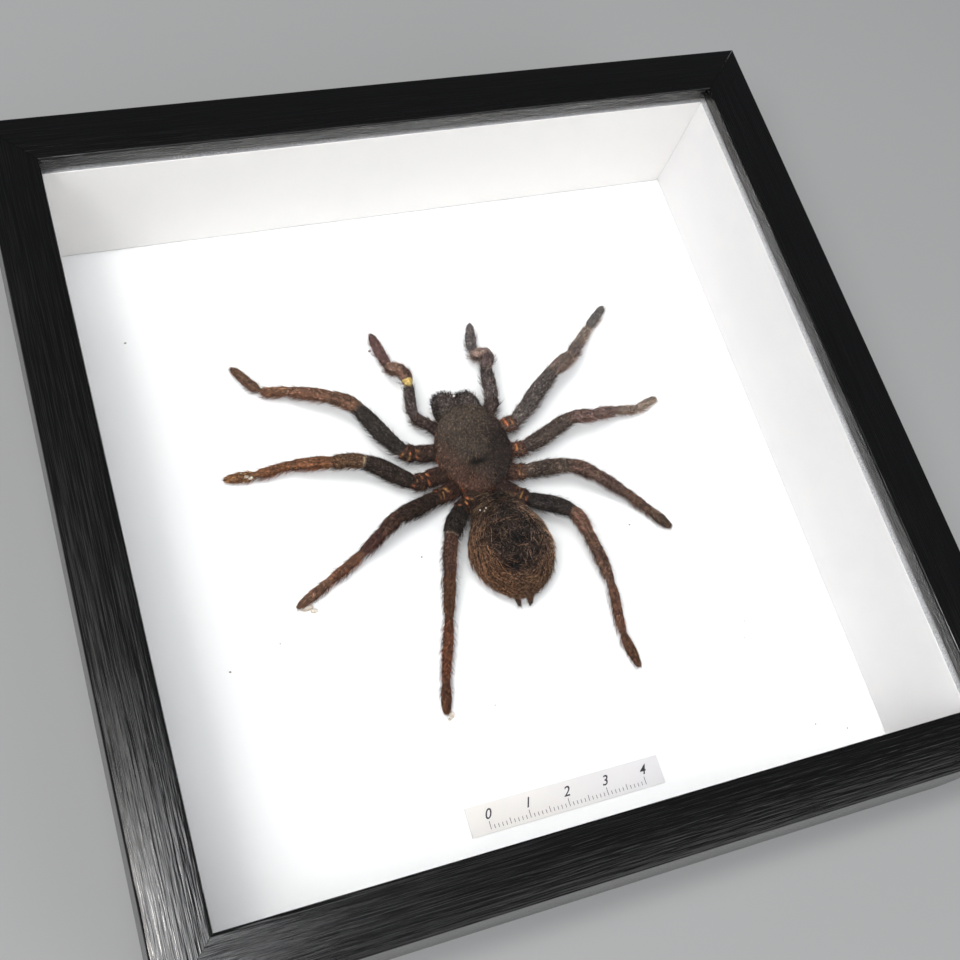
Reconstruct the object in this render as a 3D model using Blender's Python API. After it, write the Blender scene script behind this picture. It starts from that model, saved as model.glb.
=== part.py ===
"""A large dried spider, spread and glued to a white card in a deep, square, glazed box frame.

The frame lies on its back. The origin is at the middle of its back, +Z points out through the glass
and +Y points to the top of the frame. Everything is in metres; lists marked so are in millimetres.
"""

import math

import bmesh
import bpy
from mathutils import Matrix, Vector

MM = 0.001
GAP = 0.3 * MM  # the clearance kept between pieces that touch

# The frame: four mitred bars with a lip in front and a rebate behind it.
FRAME_SIDE = 200 * MM
FRAME_DEPTH = 48 * MM
BAR_FACE = 12.2 * MM
BAR_WALL = 7.8 * MM
LIP_DEPTH = 3.9 * MM
ARRIS_RADIUS = 0.6 * MM
ARRIS_STEPS = 3

# What lies in the rebate, from the front to the back.
GLASS_THICKNESS = 2.0 * MM
GLASS_PLAY = 0.6 * MM
LINER_THICKNESS = 2.6 * MM
LINER_SHOW_SIDES = 0.5 * MM  # how far the liner boards stand in past the lip
LINER_SHOW_ENDS = 0.1 * MM
CARD_BELOW_FRONT = 41.7 * MM
CARD_THICKNESS = 1.2 * MM
BOARD_THICKNESS = 2.5 * MM

# The name label on the card.
LABEL_LENGTH = 49.7 * MM
LABEL_HEIGHT = 6.9 * MM
LABEL_THICKNESS = 0.25 * MM
LABEL_X = 0.4 * MM
LABEL_Y = -77.1 * MM

# The metal on the back.
TAB_LENGTH = 9 * MM
TAB_WIDTH = 6 * MM
TAB_THICKNESS = 0.5 * MM
TAB_SPREAD = 50 * MM  # a tab's distance from the middle of its side
HANGER_Y = 72 * MM
HANGER_PLATE_WIDTH = 10 * MM
HANGER_PLATE_LENGTH = 16 * MM
HANGER_PLATE_THICKNESS = 0.6 * MM
HANGER_WIRE_RADIUS = 0.65 * MM
HANGER_RING_WIDTH = 16 * MM
HANGER_RING_HEIGHT = 12 * MM

# Heights of the layers above the back.
GLASS_TOP = FRAME_DEPTH - LIP_DEPTH - GAP
GLASS_BOTTOM = GLASS_TOP - GLASS_THICKNESS
CARD_TOP = FRAME_DEPTH - CARD_BELOW_FRONT
CARD_BOTTOM = CARD_TOP - CARD_THICKNESS
BOARD_TOP = CARD_BOTTOM - GAP
BOARD_BOTTOM = BOARD_TOP - BOARD_THICKNESS
INSIDE = FRAME_SIDE / 2 - BAR_WALL - GLASS_PLAY  # half the side of what fits the rebate
OPENING = FRAME_SIDE / 2 - BAR_FACE  # half the side of the opening in front

# The spider's body. Places are in millimetres from the middle of the card, heights from its face.
HEAD_MIDDLE = (2.7, 11.0)
HEAD_HALF_WIDTH = 10.3
HEAD_HALF_LENGTH = 11.9
HEAD_MARGIN = 5.4  # height of the shield's rim
HEAD_TOP = 9.0
HEAD_TURN = 4  # degrees that the body leans to the right of straight up the card
JAW_MIDDLES = ((-0.6, 23.8), (6.1, 23.5))
JAW_HALF_SIZE = (3.15, 5.0, 3.9)
JAW_HEIGHT = 4.9
ABDOMEN_MIDDLE = (4.6, -15.6)
ABDOMEN_HALF_WIDTH = 10.6
ABDOMEN_HALF_LENGTH = 12.9
ABDOMEN_MARGIN = 5.6
ABDOMEN_TOP = 12.4
BODY_BASE = 0.4  # the underside's height over the card

# Each limb's joints in plan, in millimetres, from its root in the body to its tip.
LEGS = {
    "leg_left_1": [(-3.1, 13.0), (-11.6, 13.8), (-14.7, 14.9), (-24.2, 27.4),
                   (-28.8, 31.4), (-38.4, 36.3), (-45.6, 39.1), (-51.0, 47.1)],
    "leg_left_2": [(-3.1, 7.6), (-10.8, 6.3), (-14.3, 6.0), (-25.9, 12.4),
                   (-33.4, 14.3), (-42.4, 16.4), (-51.7, 16.6), (-59.1, 17.5)],
    "leg_left_3": [(-0.6, 4.6), (-7.4, 1.5), (-9.6, 1.1), (-21.3, -3.3),
                   (-25.6, -6.4), (-31.0, -10.1), (-40.0, -14.3), (-49.7, -18.3)],
    "leg_left_4": [(1.6, 2.6), (-2.2, -2.2), (-4.4, -3.7), (-9.4, -10.9),
                   (-12.6, -19.4), (-15.5, -29.4), (-20.3, -44.5), (-22.3, -52.6)],
    "leg_right_1": [(8.0, 14.9), (13.9, 16.4), (16.5, 16.9), (30.7, 27.4),
                    (36.9, 32.2), (43.0, 36.8), (48.1, 42.0), (54.3, 48.2)],
    "leg_right_2": [(8.0, 10.8), (14.5, 9.7), (16.8, 9.3), (30.7, 13.5),
                    (37.0, 13.6), (45.3, 14.8), (52.8, 15.4), (59.7, 17.8)],
    "leg_right_3": [(7.0, 5.4), (13.3, 3.4), (15.1, 3.0), (26.3, 0.7),
                    (32.2, -2.7), (39.0, -7.4), (45.5, -13.8), (50.3, -18.5)],
    "leg_right_4": [(5.5, 2.8), (11.1, -2.2), (13.4, -3.8), (22.0, -10.9),
                    (25.0, -17.7), (27.2, -30.1), (27.0, -43.2), (28.5, -52.1)],
}
PALPS = {
    "pedipalp_left": [(-2.2, 17.3), (-6.3, 20.0), (-9.2, 22.9), (-8.8, 32.2),
                      (-8.3, 35.9), (-11.5, 39.8), (-12.5, 50.1)],
    "pedipalp_right": [(7.7, 19.3), (11.7, 22.0), (12.8, 24.7), (13.3, 33.2),
                       (14.3, 36.3), (12.2, 38.7), (14.6, 48.4)],
}
LEG_GIRTHS = {
    "leg_left_1": 1.0, "leg_left_2": 1.0, "leg_left_3": 0.95, "leg_left_4": 0.86,
    "leg_right_1": 0.98, "leg_right_2": 0.93, "leg_right_3": 0.95, "leg_right_4": 0.92,
}
# Joint heights, and for each segment its radius at the start, in the middle and at the end, in
# millimetres: coxa, trochanter, femur, patella, tibia, metatarsus and tarsus. A palp lacks one.
LEG_HEIGHTS = [4.4, 4.7, 5.1, 8.4, 7.8, 4.3, 2.2, 1.5]
LEG_RADII = [(2.1, 2.3, 2.2), (2.2, 2.3, 2.0), (2.0, 2.5, 2.1), (2.0, 2.2, 2.0),
             (1.9, 2.05, 1.65), (1.5, 1.6, 1.35), (1.15, 1.5, 0.85)]
PALP_HEIGHTS = [4.4, 4.8, 5.3, 7.0, 6.8, 4.4, 2.0]
PALP_RADII = [(1.6, 1.8, 1.7), (1.7, 1.8, 1.7), (1.65, 1.85, 1.5), (1.45, 1.7, 1.5),
              (1.55, 1.75, 1.3), (1.05, 1.5, 0.75)]
# The femurs that aren't straight, and how far each bows to the right of its way outwards.
FEMUR_BOWS = {"leg_right_1": 0.5, "leg_right_2": 0.6, "leg_left_1": -0.6, "leg_left_3": -0.3}
FEMUR = 2  # the femur's place in the lists of segments
STATIONS = (0.0, 0.16, 0.5, 0.84)  # where a segment's radius is set, as shares of its length
WAIST = 0.88  # how far a limb narrows at each joint
TIP_STATIONS = ((0.96, 0.72), (1.0, 0.4))  # along the last segment, and the share of its end radius
LIMB_RESOLUTION = 2
SPINNERETS = (
    [(3.0, -25.7, 4.6, 0.8), (2.8, -28.7, 4.0, 0.6), (2.9, -30.7, 3.6, 0.4)],
    [(6.8, -25.3, 4.8, 1.1), (6.2, -28.4, 4.2, 0.9), (5.6, -30.8, 3.8, 0.7)],
)


def clear_scene():
    for old in list(bpy.data.objects):
        bpy.data.objects.remove(old)


def make_collection(name):
    group = bpy.data.collections.new(name)
    bpy.context.scene.collection.children.link(group)
    return group


def make_material(name, colour, roughness, metallic=0.0, transmission=0.0):
    made = bpy.data.materials.new(name)
    made.use_nodes = True
    shader = made.node_tree.nodes["Principled BSDF"]
    shader.inputs["Base Color"].default_value = (*colour, 1.0)
    shader.inputs["Roughness"].default_value = roughness
    shader.inputs["Metallic"].default_value = metallic
    shader.inputs["Transmission Weight"].default_value = transmission
    made.diffuse_color = (*colour, 1.0)
    return made


def add_piece(name, mesh, material, smooth=False):
    """Puts a finished mesh into the part as one named object."""
    mesh.name = name
    piece = bpy.data.objects.new(name, mesh)
    part.objects.link(piece)
    mesh.materials.clear()
    mesh.materials.append(material)
    if smooth:
        mesh.shade_smooth()
        mesh.set_sharp_from_angle(angle=math.radians(50))
    return piece


def finish_mesh(form, name):
    """Turns a bmesh into a mesh with its faces pointing out."""
    bmesh.ops.recalc_face_normals(form, faces=form.faces)
    mesh = bpy.data.meshes.new(name)
    form.to_mesh(mesh)
    form.free()
    return mesh


def curve_to_mesh(curve):
    """The closed mesh of a curve, with its loose caps welded on."""
    guide = bpy.data.objects.new(curve.name, curve)
    bpy.context.scene.collection.objects.link(guide)
    bpy.context.view_layer.update()
    evaluated = guide.evaluated_get(bpy.context.evaluated_depsgraph_get())
    mesh = bpy.data.meshes.new_from_object(evaluated)
    bpy.data.objects.remove(guide)
    form = bmesh.new()
    form.from_mesh(mesh)
    bpy.data.meshes.remove(mesh)
    bmesh.ops.remove_doubles(form, verts=form.verts, dist=0.001 * MM)
    return finish_mesh(form, curve.name)


def prism(name, outline, length):
    """A flat outline in X and Y, extruded along Z to both sides."""
    curve = bpy.data.curves.new(name, "CURVE")
    curve.dimensions = "2D"
    curve.fill_mode = "BOTH"
    curve.extrude = length / 2
    spline = curve.splines.new("POLY")
    spline.points.add(len(outline) - 1)
    for point, (x, y) in zip(spline.points, outline):
        point.co = (x, y, 0.0, 1.0)
    spline.use_cyclic_u = True
    return curve_to_mesh(curve)


def box_mesh(name, low, high, bevel=0.0):
    """A box between two corners, with its edges rounded off by the bevel."""
    low = Vector(low)
    high = Vector(high)
    form = bmesh.new()
    bmesh.ops.create_cube(form, size=1.0)
    bmesh.ops.scale(form, verts=form.verts, vec=high - low)
    bmesh.ops.translate(form, verts=form.verts, vec=(low + high) / 2)
    if bevel:
        bmesh.ops.bevel(form, geom=form.edges[:], offset=bevel, segments=1, affect="EDGES")
    return finish_mesh(form, name)


def arris(x, y, start_turn):
    """The points of a quarter round, where start_turn is the direction of its first point in quarters."""
    points = []
    for step in range(ARRIS_STEPS + 1):
        angle = (start_turn + step / ARRIS_STEPS) * math.pi / 2
        points.append((x + ARRIS_RADIUS * math.cos(angle), y + ARRIS_RADIUS * math.sin(angle)))
    return points


def bar_section():
    """The section of a frame bar: X runs outwards from the middle of the frame, Y up from its back."""
    outside = FRAME_SIDE / 2
    rebate = outside - BAR_WALL
    top = FRAME_DEPTH
    section = [(rebate, 0.0), (outside, 0.0)]
    section += arris(outside - ARRIS_RADIUS, top - ARRIS_RADIUS, 0)
    section += arris(OPENING + ARRIS_RADIUS, top - ARRIS_RADIUS, 1)
    section += [(OPENING, top - LIP_DEPTH), (rebate, top - LIP_DEPTH)]
    return section


def mitred_bar(name, section, outwards, longer=0.0):
    """A bar along one side of the square, its section given as distances outwards and up.

    Its ends are cut at 45 degrees, each half a gap short of its neighbour's. The inner edge is
    longer by twice the last value than the section's distance from the middle alone would make it.
    """
    mesh = prism(name, section, FRAME_SIDE + 20 * MM)
    form = bmesh.new()
    form.from_mesh(mesh)
    bpy.data.meshes.remove(mesh)
    shift = longer - GAP / 2 * math.sqrt(2)
    for end in (-1, 1):
        geometry = form.verts[:] + form.edges[:] + form.faces[:]
        bmesh.ops.bisect_plane(
            form, geom=geometry, plane_co=(0, 0, end * shift), plane_no=(-1, 0, end), clear_outer=True
        )
        rim = [edge for edge in form.edges if edge.is_boundary]
        bmesh.ops.contextual_create(form, geom=rim)
    outwards = Vector(outwards)
    up = Vector((0, 0, 1))
    turn = Matrix((outwards, up, outwards.cross(up))).transposed()
    bmesh.ops.transform(form, matrix=turn.to_4x4(), verts=form.verts)
    return finish_mesh(form, name)


def round_form(name, shape, segments, rings, grow=0.0):
    """A ball whose points are moved by a function of their place on the unit ball."""
    form = bmesh.new()
    bmesh.ops.create_uvsphere(form, u_segments=segments, v_segments=rings, radius=1.0)
    for vert in form.verts:
        vert.co = shape(vert.co) * MM
    form.normal_update()
    moves = [(vert, vert.normal.copy()) for vert in form.verts]
    for vert, normal in moves:
        vert.co += normal * grow
    return finish_mesh(form, name)


def hump(x, y, middle, spread_x, spread_y):
    """A smooth bump of height 1 at the middle."""
    return math.exp(-(((x - middle[0]) / spread_x) ** 2) - ((y - middle[1]) / spread_y) ** 2)


def dome(point, half_width, half_length, margin, top, flatness):
    """A point of a flattened egg, in millimetres about its own middle, above the card."""
    x, y, z = point
    if z > 0:
        height = margin + (top - margin) * z**flatness
    else:
        height = margin + (margin - BODY_BASE) * z
    return Vector((x * half_width, y * half_length, height))


def head_shape(point):
    """The shield over the front half of the body, with the leg bases and breastplate under it."""
    blunt = 1 + 0.14 * max(point.y, 0) ** 3
    spot = dome(point, HEAD_HALF_WIDTH * blunt, HEAD_HALF_LENGTH, HEAD_MARGIN, HEAD_TOP, 0.8)
    if point.z > 0:
        spot.z += 0.9 * hump(spot.x, spot.y, (0.0, 6.4), 4.0, 4.6)
        spot.z -= 0.9 * hump(spot.x, spot.y, (0.0, -4.0), 2.6, 1.1)
    else:
        tuck = 1 + 0.18 * point.z
        spot.x *= tuck
        spot.y *= tuck
    turned = Matrix.Rotation(-math.radians(HEAD_TURN), 2) @ Vector((spot.x, spot.y))
    return Vector((turned.x + HEAD_MIDDLE[0], turned.y + HEAD_MIDDLE[1], spot.z + CARD_TOP / MM))


def jaw_shape(middle):
    """The shape of one jaw base, a bulging lobe in front of the shield."""

    def shape(point):
        drop = 0.9 * max(point.y, 0) ** 2
        x = middle[0] + JAW_HALF_SIZE[0] * point.x
        y = middle[1] + JAW_HALF_SIZE[1] * point.y
        z = JAW_HEIGHT + JAW_HALF_SIZE[2] * point.z - drop
        return Vector((x, y, max(z, BODY_BASE) + CARD_TOP / MM))

    return shape


def abdomen_shape(point):
    """The abdomen: an egg, narrower in front, with the shallow folds that drying leaves."""
    taper = 1 - 0.17 * max(point.y, 0)
    spot = dome(point, ABDOMEN_HALF_WIDTH * taper, ABDOMEN_HALF_LENGTH, ABDOMEN_MARGIN, ABDOMEN_TOP, 0.9)
    if point.z > 0:
        spot.z -= 1.0 * hump(spot.x, spot.y, (-2.6, -6.0), 3.4, 1.3)
        spot.z -= 0.8 * hump(spot.x, spot.y, (1.4, -0.4), 3.6, 1.4)
        spot.z -= 0.7 * hump(spot.x, spot.y, (4.4, 3.4), 2.6, 1.6)
    return Vector((spot.x + ABDOMEN_MIDDLE[0], spot.y + ABDOMEN_MIDDLE[1], spot.z + CARD_TOP / MM))


def smooth_point(points, index, share):
    """A point on a smooth curve through all the points, between one of them and the next."""
    before = points[max(index - 1, 0)]
    start = points[index]
    end = points[index + 1]
    after = points[min(index + 2, len(points) - 1)]
    reach = (end - start).length
    slope_start = (end - before).normalized() * reach
    slope_end = (after - start).normalized() * reach
    s = share
    return (
        start * (2 * s**3 - 3 * s**2 + 1)
        + slope_start * (s**3 - 2 * s**2 + s)
        + end * (3 * s**2 - 2 * s**3)
        + slope_end * (s**3 - s**2)
    )


def tube(name, stations):
    """A tube with filled ends through places in metres, each with its own radius."""
    curve = bpy.data.curves.new(name, "CURVE")
    curve.dimensions = "3D"
    curve.fill_mode = "FULL"
    curve.bevel_depth = MM
    curve.bevel_resolution = LIMB_RESOLUTION
    curve.use_fill_caps = True
    spline = curve.splines.new("POLY")
    spline.points.add(len(stations) - 1)
    for point, (place, radius) in zip(spline.points, stations):
        point.co = (*place, 1.0)
        point.radius = radius / MM
    return curve_to_mesh(curve)


def limb(name, joints, heights, radii, girth, bow=0.0):
    """A jointed limb, thick along each segment and narrow at each joint, with a rounded tip."""
    nodes = [Vector((x, y, h)) for (x, y), h in zip(joints, heights)]
    thigh = nodes[FEMUR + 1] - nodes[FEMUR]
    sideways = Vector((thigh.y, -thigh.x, 0.0)).normalized() * bow
    stations = []
    for index, (start, middle, end) in enumerate(radii):
        last = index == len(radii) - 1
        for share in STATIONS:
            swell = middle - (start + end) / 2
            radius = start * (1 - share) + end * share + swell * 4 * share * (1 - share)
            if share == 0.0 and index > 0:
                radius = (start + radii[index - 1][2]) / 2 * WAIST
            place = smooth_point(nodes, index, share)
            if index == FEMUR:
                place += sideways * 4 * share * (1 - share)
            stations.append((place, radius * girth))
        if last:
            for share, thin in TIP_STATIONS:
                stations.append((smooth_point(nodes, index, share), end * thin * girth))
    placed = []
    for place, radius in stations:
        height = max(place.z, radius + GAP / MM)
        placed.append((Vector((place.x, place.y, height + CARD_TOP / MM)) * MM, radius * MM))
    return tube(name, placed)


def cut(piece, cutter, operation="DIFFERENCE"):
    boolean = piece.modifiers.new(operation.lower(), "BOOLEAN")
    boolean.operation = operation
    boolean.solver = "EXACT"
    boolean.object = cutter


def add_cutter(name, mesh):
    cutter = bpy.data.objects.new(name, mesh)
    cutters.objects.link(cutter)
    cutter.hide_render = True
    cutter.display_type = "WIRE"
    return cutter


def build_frame():
    foil = make_material("frame_foil", (0.012, 0.012, 0.013), 0.4)
    sides = {"right": (1, 0, 0), "left": (-1, 0, 0), "top": (0, 1, 0), "bottom": (0, -1, 0)}
    for side, outwards in sides.items():
        name = f"rail_{side}"
        add_piece(name, mitred_bar(name, bar_section(), outwards), foil)


def build_glass():
    glass = make_material("clear_glass", (0.95, 0.98, 0.97), 0.02, transmission=1.0)
    low = (-INSIDE, -INSIDE, GLASS_BOTTOM)
    high = (INSIDE, INSIDE, GLASS_TOP)
    add_piece("glass_pane", box_mesh("glass_pane", low, high, 0.2 * MM), glass)


def build_liner():
    """White boards on edge between the glass and the card, mitred where they meet."""
    board = make_material("liner_board", (0.83, 0.82, 0.81), 0.7)
    bottom = CARD_TOP + GAP
    top = GLASS_BOTTOM - GAP
    across = OPENING - LINER_SHOW_SIDES
    along = OPENING - LINER_SHOW_ENDS
    sides = {
        "liner_right": ((1, 0, 0), across, along - across),
        "liner_left": ((-1, 0, 0), across, along - across),
        "liner_top": ((0, 1, 0), along, across - along),
        "liner_bottom": ((0, -1, 0), along, across - along),
    }
    for name, (outwards, inner, longer) in sides.items():
        outer = inner + LINER_THICKNESS
        section = [(inner, bottom), (outer, bottom), (outer, top), (inner, top)]
        add_piece(name, mitred_bar(name, section, outwards, longer), board)


def build_backing():
    card = make_material("white_card", (0.88, 0.88, 0.87), 0.8)
    low = (-INSIDE, -INSIDE, CARD_BOTTOM)
    high = (INSIDE, INSIDE, CARD_TOP)
    add_piece("mount_card", box_mesh("mount_card", low, high), card)
    hardboard = make_material("hardboard", (0.17, 0.09, 0.045), 0.75)
    low = (-INSIDE, -INSIDE, BOARD_BOTTOM)
    high = (INSIDE, INSIDE, BOARD_TOP)
    add_piece("back_board", box_mesh("back_board", low, high, 0.2 * MM), hardboard)


def build_label():
    paper = make_material("label_paper", (0.78, 0.77, 0.76), 0.8)
    bottom = CARD_TOP + GAP
    low = (LABEL_X - LABEL_LENGTH / 2, LABEL_Y - LABEL_HEIGHT / 2, bottom)
    high = (LABEL_X + LABEL_LENGTH / 2, LABEL_Y + LABEL_HEIGHT / 2, bottom + LABEL_THICKNESS)
    add_piece("name_label", box_mesh("name_label", low, high), paper)


def build_tabs():
    """Flat steel tabs driven into the rebate's wall, bent over the back board to hold it in."""
    steel = make_material("tab_steel", (0.45, 0.45, 0.46), 0.35, metallic=1.0)
    top = BOARD_BOTTOM - GAP
    bottom = top - TAB_THICKNESS
    reach = FRAME_SIDE / 2 - BAR_WALL - GAP
    number = 0
    for side in range(4):
        turn = Matrix.Rotation(side * math.pi / 2, 4, "Z")
        for place in (-TAB_SPREAD, TAB_SPREAD):
            number += 1
            name = f"retaining_tab_{number}"
            half = TAB_WIDTH / 2
            outline = [(reach - TAB_LENGTH, place), (reach - TAB_LENGTH + half, place - half)]
            outline += [(reach, place - half), (reach, place + half)]
            outline += [(reach - TAB_LENGTH + half, place + half)]
            mesh = prism(name, outline, TAB_THICKNESS)
            mesh.transform(turn @ Matrix.Translation((0, 0, (top + bottom) / 2)))
            add_piece(name, mesh, steel)


def build_hanger():
    """A thin plate on the back board, and the wire ring that its folded end holds."""
    steel = bpy.data.materials["tab_steel"]
    top = BOARD_BOTTOM - GAP
    half = HANGER_PLATE_WIDTH / 2
    low = (-half, HANGER_Y - HANGER_PLATE_LENGTH, top - HANGER_PLATE_THICKNESS)
    high = (half, HANGER_Y - HANGER_WIRE_RADIUS - GAP, top)
    add_piece("hanger_plate", box_mesh("hanger_plate", low, high, 0.1 * MM), steel)
    height = top - HANGER_WIRE_RADIUS
    wide = HANGER_RING_WIDTH / 2
    corners = [(-wide, HANGER_Y), (0.0, HANGER_Y + HANGER_RING_HEIGHT), (wide, HANGER_Y)]
    curve = bpy.data.curves.new("hanger_ring", "CURVE")
    curve.dimensions = "3D"
    curve.bevel_depth = HANGER_WIRE_RADIUS
    curve.bevel_resolution = LIMB_RESOLUTION
    spline = curve.splines.new("POLY")
    spline.points.add(len(corners) - 1)
    for point, (x, y) in zip(spline.points, corners):
        point.co = (x, y, height, 1.0)
    spline.use_cyclic_u = True
    add_piece("hanger_ring", curve_to_mesh(curve), steel, smooth=True)


def build_spider():
    dark = make_material("spider_dark", (0.045, 0.034, 0.026), 0.75)
    brown = make_material("spider_brown", (0.115, 0.056, 0.03), 0.7)
    head_cutter = add_cutter("head_clearance", round_form("head_clearance", head_shape, 32, 16, GAP))
    add_piece("cephalothorax", round_form("cephalothorax", head_shape, 32, 16), dark, smooth=True)
    jaw_cutters = {}
    for side, middle in zip(("left", "right"), JAW_MIDDLES):
        name = f"chelicera_{side}"
        shape = jaw_shape(middle)
        cut(add_piece(name, round_form(name, shape, 20, 12), dark, smooth=True), head_cutter)
        clearance = f"jaw_clearance_{side}"
        jaw_cutters[side] = add_cutter(clearance, round_form(clearance, shape, 20, 12, GAP))
    abdomen = add_piece("abdomen", round_form("abdomen", abdomen_shape, 32, 18), brown, smooth=True)
    for number, stations in enumerate(SPINNERETS, start=1):
        placed = [(Vector((x, y, z + CARD_TOP / MM)) * MM, radius * MM) for x, y, z, radius in stations]
        finger = add_cutter(f"spinneret_{number}", tube(f"spinneret_{number}", placed))
        cut(abdomen, finger, "UNION")
    cut(abdomen, head_cutter)
    for name, joints in LEGS.items():
        bow = FEMUR_BOWS.get(name, 0.0)
        mesh = limb(name, joints, LEG_HEIGHTS, LEG_RADII, LEG_GIRTHS[name], bow)
        cut(add_piece(name, mesh, brown, smooth=True), head_cutter)
    for name, joints in PALPS.items():
        palp = add_piece(name, limb(name, joints, PALP_HEIGHTS, PALP_RADII, 1.0), brown, smooth=True)
        cut(palp, head_cutter)
        cut(palp, jaw_cutters[name.removeprefix("pedipalp_")])


clear_scene()
part = make_collection("framed_spider")
cutters = make_collection("cutters")
build_frame()
build_glass()
build_liner()
build_backing()
build_label()
build_tabs()
build_hanger()
build_spider()
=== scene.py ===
"""The looks of a dried tarantula, spread on a white card in a deep black box frame with a glass front."""

import math

import bmesh
import bpy
import numpy as np
from mathutils import Matrix, Vector


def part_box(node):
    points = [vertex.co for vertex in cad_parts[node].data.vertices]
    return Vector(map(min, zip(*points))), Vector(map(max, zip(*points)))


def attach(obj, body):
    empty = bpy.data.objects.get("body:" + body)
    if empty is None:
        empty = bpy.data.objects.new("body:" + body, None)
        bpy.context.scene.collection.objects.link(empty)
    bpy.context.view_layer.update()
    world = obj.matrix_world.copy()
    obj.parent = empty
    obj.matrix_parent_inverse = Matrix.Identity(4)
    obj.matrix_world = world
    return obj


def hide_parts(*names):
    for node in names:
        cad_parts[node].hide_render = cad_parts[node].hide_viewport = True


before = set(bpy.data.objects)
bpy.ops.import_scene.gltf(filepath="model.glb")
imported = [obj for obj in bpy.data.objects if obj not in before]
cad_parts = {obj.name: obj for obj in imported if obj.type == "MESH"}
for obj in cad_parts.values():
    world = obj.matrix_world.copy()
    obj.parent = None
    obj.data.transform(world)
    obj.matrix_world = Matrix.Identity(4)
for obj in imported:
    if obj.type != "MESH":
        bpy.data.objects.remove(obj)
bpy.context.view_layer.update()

# ---- Camera, floor and light ----------------------------------------------------------------
# The frame lies on its back on a pale floor, and the camera looks down on it from over its lower left
# corner. A small high lamp makes the shadows and a broad one fills them. A near, square one overhead
# shows as a sheen on the foil, and another lightens it from the left.
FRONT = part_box("rail_top")[1].z
CAMERA_PLACE = (-0.1052, -0.1106, FRONT + 0.2641)
CAMERA_RIGHT = (0.9294, -0.2942, 0.2227)
CAMERA_UP = (0.1858, 0.8946, 0.4064)
CAMERA_LENS = 50.18
# Each lamp's place, width, power, colour and shape.
LAMPS = {
    "key_light": ((-0.85, 0.12, 2.45), 0.28, 9.6, (1.0, 0.985, 0.96), "DISK"),
    "fill_light": ((0.6, -0.85, 0.95), 1.3, 3.7, (0.95, 0.97, 1.0), "DISK"),
    "overhead_light": ((-0.16, -0.04, 1.0), 0.28, 1.65, (0.93, 0.96, 1.0), "SQUARE"),
    "window_light": ((-0.62, -0.32, 1.0), 0.42, 3.9, (0.98, 0.98, 1.0), "DISK"),
}
ROOM_COLOUR = (0.9, 0.94, 1.0)
ROOM_STRENGTH = 0.1
FLOOR_RADIUS = 3.0


def select_only(*pieces):
    """Selects these pieces, or none, and makes the first one active."""
    bpy.ops.object.select_all(action="DESELECT")
    for piece in pieces:
        piece.select_set(True)
    if pieces:
        bpy.context.view_layer.objects.active = pieces[0]


def new_material(name, colour, roughness):
    made = bpy.data.materials.new(name)
    made.use_nodes = True
    shader = made.node_tree.nodes["Principled BSDF"]
    shader.inputs["Base Color"].default_value = (*colour, 1.0)
    shader.inputs["Roughness"].default_value = roughness
    return made, shader


def add_node(material, kind, settings=None, **values):
    """A shader node, with its settings and its sockets' values; a socket given as a value is linked."""
    tree = material.node_tree
    made = tree.nodes.new(f"ShaderNode{kind}")
    for name, value in (settings or {}).items():
        setattr(made, name, value)
    for name, value in values.items():
        socket = made.inputs[int(name[1:])] if name[1:].isdigit() else made.inputs[name.replace("_", " ")]
        if isinstance(value, bpy.types.NodeSocket):
            tree.links.new(value, socket)
        else:
            socket.default_value = value
    return made


def link(material, source, target):
    material.node_tree.links.new(source, target)


def add_noise(material, stretch, detail=3.0, roughness=0.5):
    """Noise with this many grains a metre: one number, or one each along X, Y and Z."""
    place = add_node(material, "TexCoord").outputs["Object"]
    scale = stretch if isinstance(stretch, tuple) else (stretch,) * 3
    mapped = add_node(material, "Mapping", Vector=place, Scale=scale).outputs[0]
    settings = {"Scale": 1.0, "Detail": detail, "Roughness": roughness}
    return add_node(material, "TexNoise", Vector=mapped, **settings).outputs[0]


def spread(material, value, low, high, to_low=0.0, to_high=1.0):
    """Maps the range from low to high on to another, smoothly and without going past its ends."""
    ends = {"_1": low, "_2": high, "_3": to_low, "_4": to_high}
    settings = {"interpolation_type": "SMOOTHSTEP"}
    return add_node(material, "MapRange", settings, _0=value, **ends).outputs[0]


def blend_colours(material, share, first, second, way="MIX"):
    """Mixes two colours, each a value or a socket, by a share from 0 to 1."""
    mix = add_node(material, "Mix", {"data_type": "RGBA", "blend_type": way}, _0=share)
    for socket, value in ((mix.inputs[6], first), (mix.inputs[7], second)):
        if isinstance(value, bpy.types.NodeSocket):
            link(material, value, socket)
        else:
            socket.default_value = (*value, 1.0)
    return mix.outputs[2]


def add_bump(material, shader, height, depth, strength=1.0, under=None):
    """Bump of this depth in metres; another bump may lie under it."""
    bump = add_node(material, "Bump", Height=height, Distance=depth, Strength=strength)
    if under:
        link(material, under, bump.inputs["Normal"])
    link(material, bump.outputs[0], shader.inputs["Normal"])
    return bump.outputs[0]


def mottled_material(name, roughness, dark, light, grain, ends=None, bump=None, bump_grain=None):
    """A finish mottled from dark to light by noise, with bump from the same noise or a finer one."""
    made, shader = new_material(name, light, roughness)
    mottle = add_noise(made, *grain)
    share = spread(made, mottle, *ends) if ends else mottle
    link(made, blend_colours(made, share, dark, light), shader.inputs["Base Color"])
    if bump:
        height = add_noise(made, *bump_grain) if bump_grain else mottle
        add_bump(made, shader, height, *bump)
    return made, shader


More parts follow.
